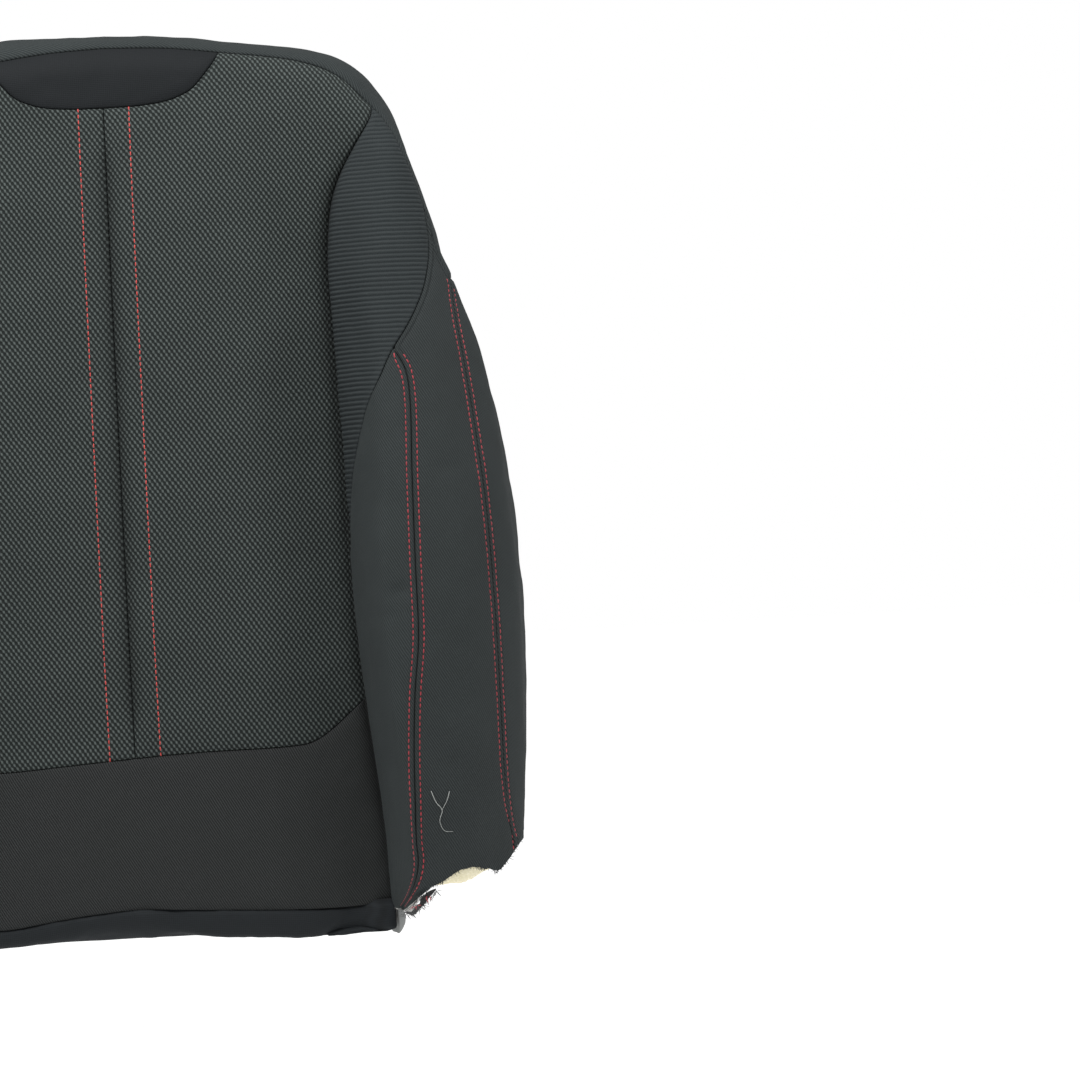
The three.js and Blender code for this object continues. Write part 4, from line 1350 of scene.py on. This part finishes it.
flapLook = {
    "thickness": 1.6,
    "foldBend": 5.0,  # mm, how far from a corner the apron starts to bend
    "flapBend": 3.0,
    "drop": 3.4,  # mm that the apron stops short of its pattern line
    "wave": 1.2,  # mm
    "bulge": 2.2,  # mm, where the apron isn't pulled tight
    "hollow": 1.6,  # mm, beside the bulge
}
foldY, foldZ = foldLine[1], foldLine[2]
apronEnd = 0.633 * halfWidth
apronFlapHigh = boxOf("apron_flap")[1]
apronBottom = heightAt(
    [(-0.62, -0.01), (-0.37, -0.008), (-0.21, -0.001), (-0.09, 0.004), (0.02, 0.004), (0.08, -0.002)]
    + [(0.25, -0.009), (0.45, -0.013), (0.62, -0.01)]
)


def bendPath(corners, radius):
    # A polyline with rounded corners, as dense points.
    points = [np.array(corners[0], float)]
    for a, b, c in zip(corners, corners[1:], corners[2:]):
        a, b, c = (np.array(v, float) for v in (a, b, c))
        reach = min(radius, 0.45 * np.linalg.norm(b - a), 0.45 * np.linalg.norm(c - b))
        p, q = b + (a - b) * reach / np.linalg.norm(a - b), b + (c - b) * reach / np.linalg.norm(c - b)
        t = np.linspace(0, 1, 9)[:, None]
        points += list((1 - t) ** 2 * p + 2 * t * (1 - t) * b + t * t * q)
    points.append(np.array(corners[-1], float))
    return np.array(points)


def makeApron():
    xs = np.linspace(-apronEnd, apronEnd, 121)
    tops = apronSeamZ(xs)
    seamY = frontGrid(xs, tops)[:, 1]
    flapY = apronFlapHigh[1]
    rows = []
    for x, top, y in zip(xs, tops, seamY):
        bottom = float(apronBottom(np.array(x))) + flapLook["drop"]
        fold = foldZ - baseZ - 0.4
        corners = [
            (y + 5.0, top + 4.0),
            (y + 2.4, top + 0.2),
            (y - 0.2, top - 1.0),
            (y + 0.8, lerp(top, bottom, 0.55)),
            (y + 4.5, bottom + 0.5),
            (foldY - 4, min(bottom, fold)),
            (foldY + 4, fold),
            (flapY, fold),
        ]
        rows.append(evenly(bendPath(corners, flapLook["foldBend"]), 64))
    rows = np.array(rows)
    narrow = apronFlapHigh[0] / apronEnd
    share = smoothstep(rows[..., 0], foldY - 10, foldY + 1)
    x = xs[:, None] * lerp(1, narrow, share)
    points = np.stack([x, rows[..., 0], rows[..., 1] + baseZ], axis=-1)
    normals = gridNormals(points, np.array([0, -1, -1]) * np.ones(points.shape))
    uv = np.stack([np.broadcast_to(xs[:, None], x.shape), arcs(points)], axis=-1)
    front = 1 - smoothstep(rows[..., 0], foldY - 8, foldY - 2)
    lift = flapLook["wave"] * mottle(points, 30, 61) * front + 0.5 * mottle(points, 11, 62) * front
    fromSeam = arcs(points)
    lift = lift * np.clip(fromSeam / 6, 0, 1) + 0.25 * mottle(points, 24, 63)
    # a soft wave where the cloth isn't pulled tight, and free ends that curl forward
    slack = front * np.clip(fromSeam / 10, 0, 1)
    lift = lift + slack * (flapLook["bulge"] * bell(x, 2, 14) - flapLook["hollow"] * bell(x, 26, 12))
    curl = np.clip((np.abs(x) - 0.98 * apronEnd) / (0.02 * apronEnd), 0, 1) * front
    points = points + np.stack([0.4 * curl * np.sign(x), -0.8 * curl, 0 * curl], axis=-1)
    final = points + normals * lift[..., None]
    both = [smoothCloth, smoothCloth]
    # painted shade along the apron's seam, under the lumbar panel's edge
    hollow = np.clip(1 - fromSeam / 5, 0, 1) * 0.8
    obj = finishPiece("apron_cloth", final, normals, uv, "smooth_cloth", both, flapLook["thickness"], hollow)
    bendFrom, bendTo = (0, (foldY - 4) / 1000, foldZ / 1000), (0, (foldY + 6) / 1000, foldZ / 1000)
    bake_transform(obj)
    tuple(bendFrom)
    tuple(bendTo)
    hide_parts("apron", "apron_flap")
    flatSize(points)


makeApron()


def makeFlap(name, corners, ends, along, seed):
    # A flap of plain cloth: a section swept along an edge, from under the hem to its strip.
    section = evenly(bendPath(corners, flapLook["flapBend"]), 26)
    count = max(20, round(abs(ends[1] - ends[0]) / 4))
    places = np.linspace(ends[0], ends[1], count)
    if along == "z":
        points = np.array([[(a, b, place) for a, b in section] for place in places])
    else:
        points = np.array([[(place, b, a) for a, b in section] for place in places])
    normals = gridNormals(points, np.array([0, 1, 0]) * np.ones(points.shape))
    uv = np.stack([arcs(points), np.broadcast_to(places[:, None], points.shape[:2])], axis=-1)
    fromHem = arcs(points)
    lift = 0.5 * mottle(points, 26, seed) * np.clip(fromHem / 12, 0, 1) * (1 - smoothstep(fromHem, 30, 38))
    final = points + normals * lift[..., None]
    both = [smoothCloth, smoothCloth]
    obj = finishPiece(name, final, normals, uv, "smooth_cloth", both, flapLook["thickness"], 0 * fromHem)
    return obj, points


for name, side in (("left", -1), ("right", 1)):
    low, high = boxOf("side_flap_" + name)
    hinge = np.array(joints[name + "_flap_fold"]["pos_m"]) * 1000
    far = low[0] if side > 0 else high[0]
    y = high[1] - 0.6
    corners = [(hinge[0] + side * 5.5, y - 3.2), (hinge[0] + side * 1, y - 0.6), (far, y)]
    obj, points = makeFlap("side_flap_cloth_" + name, corners, (low[2], high[2]), "z", 70 + side)
    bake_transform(obj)
    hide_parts("side_flap_" + name)
    flatSize(points)

low, high = boxOf("top_flap")
hinge = np.array(joints["top_flap_fold"]["pos_m"]) * 1000
corners = [(hinge[2] + 5.5, high[1] - 3.8), (hinge[2] + 1, high[1] - 1.2), (low[2], high[1] - 0.6)]
obj, points = makeFlap("top_flap_cloth", corners, (low[0], high[0]), "x", 75)
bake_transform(obj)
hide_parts("top_flap")
flatSize(points)
print("apron and flaps made")


# Foam and felt

foamLook = {
    "voxel": 4.5,  # mm
    "uneven": 0.7,  # mm
    "unevenEvery": 24,  # mm
    "shrink": 0.4,  # mm
    "behindCover": 5.2,  # mm
    "behindSides": 12.0,  # mm, below the shoulders, where the cover is pulled in
}


def copyOf(node, name):
    # A CAD solid's mesh as an object of its own, its facets joined at their corners.
    obj = placeObject(name, bpy.data.objects[node].data.copy())
    weld = obj.modifiers.new("weld", "WELD")
    weld.merge_threshold = 0.00002
    return obj


def softBlock(name, cadNode):
    # A foam block with rounded arrises and an uneven skin, from its own solid.
    obj = copyOf(cadNode, name)
    grown = obj.modifiers.new("even", "REMESH")
    grown.mode = "VOXEL"
    grown.voxel_size = foamLook["voxel"] / 1000
    softer = obj.modifiers.new("soften", "SMOOTH")
    softer.factor = 0.5
    softer.iterations = 3
    bakeModifiers(obj)
    count = len(obj.data.vertices)
    places, normals = np.empty(count * 3), np.empty(count * 3)
    obj.data.vertices.foreach_get("co", places)
    obj.data.vertices.foreach_get("normal", normals)
    places, normals = places.reshape(-1, 3) * 1000, normals.reshape(-1, 3)
    amount = foamLook["uneven"] * mottle(places, foamLook["unevenEvery"], 81, 2) - foamLook["shrink"]
    places = places + normals * amount[:, None]
    x, z = places[:, 0], places[:, 2] - baseZ
    inside = (insideBy(x[None], z[None])[0] > 2) & (z > 0) & (np.abs(x) < outlineX(np.clip(z, 0, height)))
    coverY, slope = frontGrid(x[None], z[None])[0, :, 1], frontNormal(x[None], z[None])[0, :, 1]
    behind = coverY + foamLook["behindCover"] / np.maximum(-slope, 0.3)
    places[:, 1] = np.where(inside, np.maximum(places[:, 1], behind), places[:, 1])
    drawnIn = foamLook["behindSides"] * (1 - smoothstep(z, 0.7 * height, 0.78 * height))
    limit = outlineX(np.clip(z, 0, height)) - drawnIn
    places[:, 0] = np.where(drawnIn > 0, np.clip(x, -limit, limit), x)
    obj.data.vertices.foreach_set("co", (places / 1000).ravel())
    obj.data.materials.clear()
    obj.data.materials.append(foamSkin)
    obj.data.polygons.foreach_set("use_smooth", [True] * len(obj.data.polygons))
    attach(obj, "pad")
    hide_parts(cadNode)


for name in ("foam_centre", "foam_bolster_left", "foam_bolster_right"):
    softBlock(name + "_moulded", name)
print("foam made")


# Felt backing, glued into the recess of the foam


def makeFelt():
    obj = copyOf("rear_scrim", "rear_felt")
    soft = obj.modifiers.new("soft", "BEVEL")
    soft.width = 0.0005
    soft.segments = 2
    bakeModifiers(obj)
    obj.data.materials.clear()
    obj.data.materials.append(felt)
    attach(obj, "pad")
    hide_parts("rear_scrim")


makeFelt()

# Carried-over solids keep their shapes and get their real finishes.
for node, obj in frame["nodes"].items():
    if node.startswith("rod_"):
        finish = nylon
    elif node.startswith(("foam_wire_", "hog_ring_")):
        finish = zincWire
    elif node.endswith("_strip") or "_strip_" in node:
        finish = blackPlastic
    else:
        continue
    for slot in obj.material_slots:
        slot.material = finish
print("solids finished")


# Stitches: Geometry Nodes lay a thread along each row


def stitchTree():
    tree = bpy.data.node_groups.new("sewn stitches", "GeometryNodeTree")
    tree.interface.new_socket("Geometry", in_out="OUTPUT", socket_type="NodeSocketGeometry")
    tree.interface.new_socket("Geometry", in_out="INPUT", socket_type="NodeSocketGeometry")
    for name, kind in (
        ("Pitch", "NodeSocketFloat"),
        ("Stitch", "NodeSocketFloat"),
        ("Thread", "NodeSocketFloat"),
        ("Seed", "NodeSocketInt"),
        ("Material", "NodeSocketMaterial"),
    ):
        tree.interface.new_socket(name, in_out="INPUT", socket_type=kind)
    given = add(tree, "NodeGroupInput").outputs
    row = add(tree, "GeometryNodeMeshToCurve", {"Mesh": given["Geometry"]}).outputs[0]
    spaced = {"Curve": row, "Length": given["Pitch"]}
    points = add(tree, "GeometryNodeResampleCurve", spaced, mode="LENGTH")
    up = add(tree, "GeometryNodeInputNamedAttribute", {"Name": "up"}, data_type="FLOAT_VECTOR").outputs[0]
    way = add(tree, "GeometryNodeInputTangent").outputs[0]
    lengthwise = add(tree, "FunctionNodeAlignRotationToVector", {"Vector": way}, axis="X").outputs[0]
    standing = add(
        tree,
        "FunctionNodeAlignRotationToVector",
        {"Rotation": lengthwise, "Vector": up},
        axis="Z",
        pivot_axis="X",
    ).outputs[0]
    tilt = add(
        tree,
        "FunctionNodeRandomValue",
        {0: (-0.04, -0.03, -0.09), 1: (0.04, 0.03, 0.09), "Seed": given["Seed"]},
        data_type="FLOAT_VECTOR",
    ).outputs[0]
    tilted = add(tree, "FunctionNodeEulerToRotation", {"Euler": tilt}).outputs[0]
    turned = add(
        tree,
        "FunctionNodeRotateRotation",
        {"Rotation": standing, "Rotate By": tilted},
        rotation_space="LOCAL",
    ).outputs[0]
    # a thread that comes up, lies along the cloth and goes down again
    half = add(tree, "ShaderNodeMath", {0: given["Stitch"], 1: 0.5}, operation="MULTIPLY").outputs[0]
    back = add(tree, "ShaderNodeMath", {0: given["Stitch"], 1: -0.5}, operation="MULTIPLY").outputs[0]
    down = add(tree, "ShaderNodeMath", {0: given["Thread"], 1: -1.3}, operation="MULTIPLY").outputs[0]
    rise = add(tree, "ShaderNodeMath", {0: given["Thread"], 1: 1.9}, operation="MULTIPLY").outputs[0]
    first = add(tree, "ShaderNodeCombineXYZ", {"X": back, "Z": down}).outputs[0]
    top = add(tree, "ShaderNodeCombineXYZ", {"Z": rise}).outputs[0]
    last = add(tree, "ShaderNodeCombineXYZ", {"X": half, "Z": down}).outputs[0]
    arch = add(
        tree,
        "GeometryNodeCurveQuadraticBezier",
        {"Resolution": 5, "Start": first, "Middle": top, "End": last},
    ).outputs[0]
    section = add(
        tree,
        "GeometryNodeCurvePrimitiveCircle",
        {"Resolution": 6, "Radius": given["Thread"]},
        mode="RADIUS",
    ).outputs[0]
    thread = add(
        tree,
        "GeometryNodeCurveToMesh",
        {"Curve": arch, "Profile Curve": section, "Fill Caps": True},
    ).outputs[0]
    laid = add(
        tree,
        "GeometryNodeInstanceOnPoints",
        {"Points": points.outputs[0], "Instance": thread, "Rotation": turned},
    ).outputs[0]
    whole = add(tree, "GeometryNodeRealizeInstances", {"Geometry": laid}).outputs[0]
    smooth = add(tree, "GeometryNodeSetShadeSmooth", {"Geometry": whole}).outputs[0]
    done = add(tree, "GeometryNodeSetMaterial", {"Geometry": smooth, "Material": given["Material"]})
    out = add(tree, "NodeGroupOutput")
    tree.links.new(done.outputs[0], out.inputs[0])
    return tree


def sewRows(name, rows, tree, material, seed):
    points = np.concatenate([line for line, _ in rows])
    ups = np.concatenate([up for _, up in rows])
    edges, start = [], 0
    for line, _ in rows:
        edges += [(start + i, start + i + 1) for i in range(len(line) - 1)]
        start += len(line)
    mesh = bpy.data.meshes.new(name)
    mesh.from_pydata((points / 1000).tolist(), edges, [])
    up = mesh.attributes.new("up", "FLOAT_VECTOR", "POINT")
    up.data.foreach_set("vector", ups.astype(np.float32).ravel())
    obj = placeObject(name, mesh)
    modifier = obj.modifiers.new("stitches", "NODES")
    modifier.node_group = tree
    values = {
        "Pitch": stitching["pitch"] / 1000,
        "Stitch": stitching["stitch"] / 1000,
        "Thread": stitching["thread"] / 1000,
        "Seed": seed,
        "Material": material,
    }
    for item in tree.interface.items_tree:
        if item.in_out == "INPUT" and item.name in values:
            modifier[item.identifier] = values[item.name]
    bakeModifiers(obj)
    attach(obj, "pad")


# Sleeves: felt sewn into each trench seam, doubled round its rod


sleeve = {
    "low": 0.255,  # shares of the height
    "high": 0.775,
    "behindFront": 9.2,  # mm from the seam's line to the sleeve's mouth
    "rodBehind": 13.0,  # mm from the seam's line to the rod
    "radius": 2.1,  # mm
    "slit": 0.5,  # mm, half the mouth
    "felt": 0.4,  # mm
}


def makeSleeve(name, lineX):
    zs = np.linspace(sleeve["low"] * height, sleeve["high"] * height, 110)
    x = lineX(zs)
    seamY = plainFront(np.abs(x), zs) + sleeve["behindFront"]
    rodY = plainFront(np.abs(x), zs) + sleeve["rodBehind"]
    turns = np.linspace(-0.42 * math.pi, 1.42 * math.pi, 15)
    radius, rows = sleeve["radius"], []
    for a, z, top, rod in zip(x, zs, seamY, rodY):
        loop = [(a + radius * math.cos(t), rod + radius * math.sin(t)) for t in turns]
        section = [(a + sleeve["slit"], top), *loop, (a - sleeve["slit"], top)]
        rows.append([(u, v, z + baseZ) for u, v in section])
    points = np.array(rows)
    normals = gridNormals(points, points - points.mean(axis=1, keepdims=True))
    uv = np.stack([arcs(points), np.broadcast_to(zs[:, None], points.shape[:2])], axis=-1)
    both = [sleeveFelt, sleeveFelt]
    hollow = 0 * uv[..., 0]
    obj = finishPiece(name + "_cloth", points, normals, uv, "smooth_cloth", both, sleeve["felt"], hollow)
    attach(obj, "pad")
    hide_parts(name)
    flatSize(points)


for name, lineX in (
    ("sleeve_centre", lambda z: 0 * z),
    ("sleeve_left", lambda z: -trenchX(z)),
    ("sleeve_right", trenchX),
):
    makeSleeve(name, lineX)
print("sleeves made")


# The torn lower ends of the bolsters: frayed cloth, a lip of foam and a strip of fleece

torn = {
    "fibres": 150,  # short black ends of yarn along each cut
    "tuft": 70,  # longer ones where the cover tore last
    "fibre": 0.22,  # radius, mm
    "redEnd": 0.42,
    "sides": 5,  # of a yarn's section
    "lipRings": 48,
    "lipSides": 20,
}


def onCover(points, out=0.0):
    # Points of the front, given from the middle and above the base, raised off the cover.
    x, z = np.asarray(points, float).T
    return frontGrid(x[None], z[None])[0] + frontNormal(x[None], z[None])[0] * np.asarray(out)[..., None]


def tube(path, radius):
    # The rings of a thin tube along a path.
    way = unit(np.gradient(path, axis=0))
    across = unit(np.cross(way, [0.31, 0.9, 0.29]))
    over = np.cross(way, across)
    turns = np.linspace(0, 2 * math.pi, torn["sides"], endpoint=False)
    radius = np.broadcast_to(radius, len(path))[:, None, None]
    ring = across[:, None] * np.cos(turns)[:, None] + over[:, None] * np.sin(turns)[:, None]
    return path[:, None] + radius * ring


def strands(name, paths, radius, material, slot):
    points, faces = [], []
    for path in paths:
        rings = tube(path, radius * np.sqrt(np.linspace(1, 0.15, len(path))))
        start = sum(len(p) for p in points)
        rows, sides = rings.shape[:2]
        points.append(rings.reshape(-1, 3))
        for i in range(rows - 1):
            here, beyond = start + i * sides, start + (i + 1) * sides
            for j in range(sides):
                k = (j + 1) % sides
                faces.append([here + j, here + k, beyond + k, beyond + j])
        faces.append([start + j for j in range(sides)][::-1])
        faces.append([start + (rows - 1) * sides + j for j in range(sides)])
    return bareMesh(name, np.concatenate(points), faces, material, slot)


def bareMesh(name, points, faces, material, slot):
    mesh = bpy.data.meshes.new(name)
    mesh.from_pydata((points / 1000).tolist(), [], faces)
    work = bmesh.new()
    work.from_mesh(mesh)
    bmesh.ops.recalc_face_normals(work, faces=work.faces)
    work.to_mesh(mesh)
    work.free()
    mesh.polygons.foreach_set("use_smooth", [True] * len(mesh.polygons))
    mesh.materials.append(material)
    obj = placeObject(name, mesh)
    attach(obj, "pad")
    return obj


# Soft lips under the cut edge: an upper and a lower line (mm from the middle and above the base),
# half the thickness, how far below the cover (mm), unevenness, finish, slot, seed and filling.
lips = {
    "torn_foam_lip_": (
        [(208, 33.5), (216, 37), (229, 45), (242, 47), (261, 45.5)],
        [(212, 29), (224, 30.5), (237, 31.5), (248, 36), (258, 40)],
        *(3.4, 2.4, 0.16, tornFoam, "moulded_foam", 0, 0.8),
    ),
    "torn_fleece_": (
        [(194, 19.5), (197, 25), (203, 31), (215, 36)],
        [(198.5, 17.5), (201, 22), (207, 27.5), (216, 31.5)],
        *(0.9, 2.4, 0.2, fleece, "felt_scrim", 1, 0.5),
    ),
    "torn_fleece_corner_": (
        [(177, 17), (185, 16.5), (193, 18), (199, 20)],
        [(177, 12.6), (185, 12.4), (191, 10), (197, 14.5)],
        *(0.7, 2.4, 0.2, fleece, "felt_scrim", 2, 0.5),
    ),
    "torn_allowance_": (
        [(186.5, 13), (192, 12.6), (196.5, 17), (200.5, 21), (205.5, 26.5), (212.5, 30.5)],
        [(187.5, 9.6), (193, 8.8), (199, 14), (204, 17.2), (208.5, 22), (214.5, 27.4)],
        *(0.6, 1.6, 0.5, blackThread, "twill_cloth", 4, 0.4),
    ),
    "apron_corner_": (
        [(174, 16), (175, 4), (177, -5.5)],
        [(188, 16), (186.5, 4), (183.5, -6.5)],
        *(0.5, 2.4, 0.05, backing, "smooth_cloth", 3, 0.3),
    ),
}


def makeLip(kind, name, side, firstSeed):
    # One of the lips, swept from its upper line to its lower one and closed at both ends.
    upper, lower, depth, below, uneven, material, slot, seed, fill = lips[kind]
    count = torn["lipRings"]
    up, down = evenly(np.array(upper, float), count), evenly(np.array(lower, float), count)
    along = np.linspace(0, 1, count)
    taper = np.sqrt(np.clip(np.sin(math.pi * np.clip(along, 0.004, 0.996)), 0, 1))
    middle, half = (up + down) / 2, (up - down) / 2
    turns = np.linspace(0, 2 * math.pi, torn["lipSides"], endpoint=False)
    rows = []
    for m, h, t in zip(middle, half, taper):
        flat = m + np.outer(np.cos(turns), h) * t
        out = -below - depth * t * (1 + 0.9 * np.sin(turns))
        rows.append(onCover(flat, out))
    points = np.array(rows)
    centre = points.mean(axis=1, keepdims=True)
    rough = 1 + uneven * mottle(points, 4.5, firstSeed + seed, 3)
    points = centre + (points - centre) * rough[..., None]
    points[..., 0] *= side
    index = np.arange(points.shape[0] * points.shape[1]).reshape(points.shape[:2])
    index = np.concatenate([index, index[:, :1]], axis=1)
    quads = np.stack([index[:-1, :-1], index[:-1, 1:], index[1:, 1:], index[1:, :-1]], axis=-1).reshape(-1, 4)
    faces = quads.tolist() + [index[0, :-1].tolist(), index[-1, :-1][::-1].tolist()]
    bareMesh(kind + name, points.reshape(-1, 3), faces, material, slot)


def fray(starts, draws, reach, droop, out):
    # Short ends of yarn that hang and curl from places on the cut edge.
    paths = []
    for x, z in starts:
        length = reach * draws.uniform(0.5, 1.3)
        angle = -math.pi / 2 + draws.normal(0, droop)
        bow = draws.normal(0, 0.9, 2)
        t = np.linspace(0, 1, 6)
        way = length / len(t)
        turned = angle + bow[0] * t
        steps = np.stack([np.cos(turned), np.sin(turned)], axis=1)
        path = (x, z) + way * np.cumsum(steps, axis=0)
        heights = out + draws.uniform(-1.2, 0.6) + bow[1] * t * 1.2
        paths.append(onCover(path, heights))
    return paths


for name, side, seed in (("right", 1, 5), ("left", -1, 11)):
    draws = np.random.default_rng(seed)
    edge = tornEdge(side)
    for kind in ("torn_foam_lip_", "torn_fleece_", "torn_fleece_corner_", "torn_allowance_"):
        makeLip(kind, name, side, seed)
    xs = draws.uniform(182, 277, torn["fibres"])
    starts = np.stack([xs, edge(side * xs) + 0.8], axis=1)
    paths = fray(starts, draws, 2.6, 0.6, -0.2)
    along = draws.uniform(0, 1, torn["tuft"])
    tuft = np.stack([189 + 25 * along, 10.5 + 18 * along**1.3], axis=1)
    tuft += draws.normal(0, 0.8, tuft.shape)
    paths += fray(tuft, draws, 4.5, 0.8, 0.2)
    xs = draws.uniform(256, 260, 6)
    paths += fray(np.stack([xs, edge(side * xs)], axis=1), draws, 4.0, 0.4, -1.0)
    knots = np.array([(197, 17.5), (198, 17), (199, 17.5), (200, 18), (206, 24), (207, 24.5), (208.5, 25)])
    red = fray(knots, draws, 3.2, 1.2, 1.0)
    for path in paths + red:
        path[:, 0] *= side
    strands("frayed_yarns_" + name, paths, torn["fibre"], blackThread, "twill_cloth")
    strands("frayed_stitches_" + name, red, torn["redEnd"], darkRedThread, "twill_cloth")
    makeLip("apron_corner_", name, side, seed)


def onPanel(name, points, out):
    # Places on a sewn panel, raised a little: the nearest of its points gives the depth.
    grid = panels[name].reshape(-1, 3)
    rows = []
    for x, z in points:
        near = grid[np.argmin((grid[:, 0] - x) ** 2 + (grid[:, 2] - z - baseZ) ** 2)]
        rows.append((x, near[1] - out, z + baseZ))
    return np.array(rows)


lint = [
    onPanel("bolster_face_right", centripetal(line, 40), 0.5)
    for line in (
        [(214, 100), (217, 92), (221, 86), (219, 78), (222, 71), (228, 70)],
        [(227, 99), (225, 93), (221, 86)],
    )
]
strands("lint", lint, 0.3, greyThread, "twill_cloth")
print("torn ends made")

tree = stitchTree()
for seed, (name, rows) in enumerate(sorted(stitchRows.items())):
    brick = name.startswith("brick")
    sewRows(
        f"{'channel' if brick else 'twin'}_stitches_{name.split('_')[1]}",
        rows,
        tree,
        brickThread if brick else darkRedThread,
        seed,
    )
print("stitches sewn")


# Floor: pale and plain, low enough for the apron's tail to hang open above it


def layFloor():
    drop = apronFlapHigh[1] - foldY + 6
    mesh = bpy.data.meshes.new("floor")
    z = (foldZ - drop) / 1000
    mesh.from_pydata([(-12, -6, z), (12, -6, z), (12, 18, z), (-12, 18, z)], [], [(0, 1, 2, 3)])
    floor = placeObject("floor", mesh)
    material, tree, surface = startMaterial("pale_floor")
    surface.inputs["Base Color"].default_value = linear(studio["floor"])
    surface.inputs["Roughness"].default_value = 0.8
    surface.inputs["Emission Color"].default_value = (1, 1, 1, 1)
    surface.inputs["Emission Strength"].default_value = studio["floorGlow"]
    mesh.materials.append(material)


layFloor()
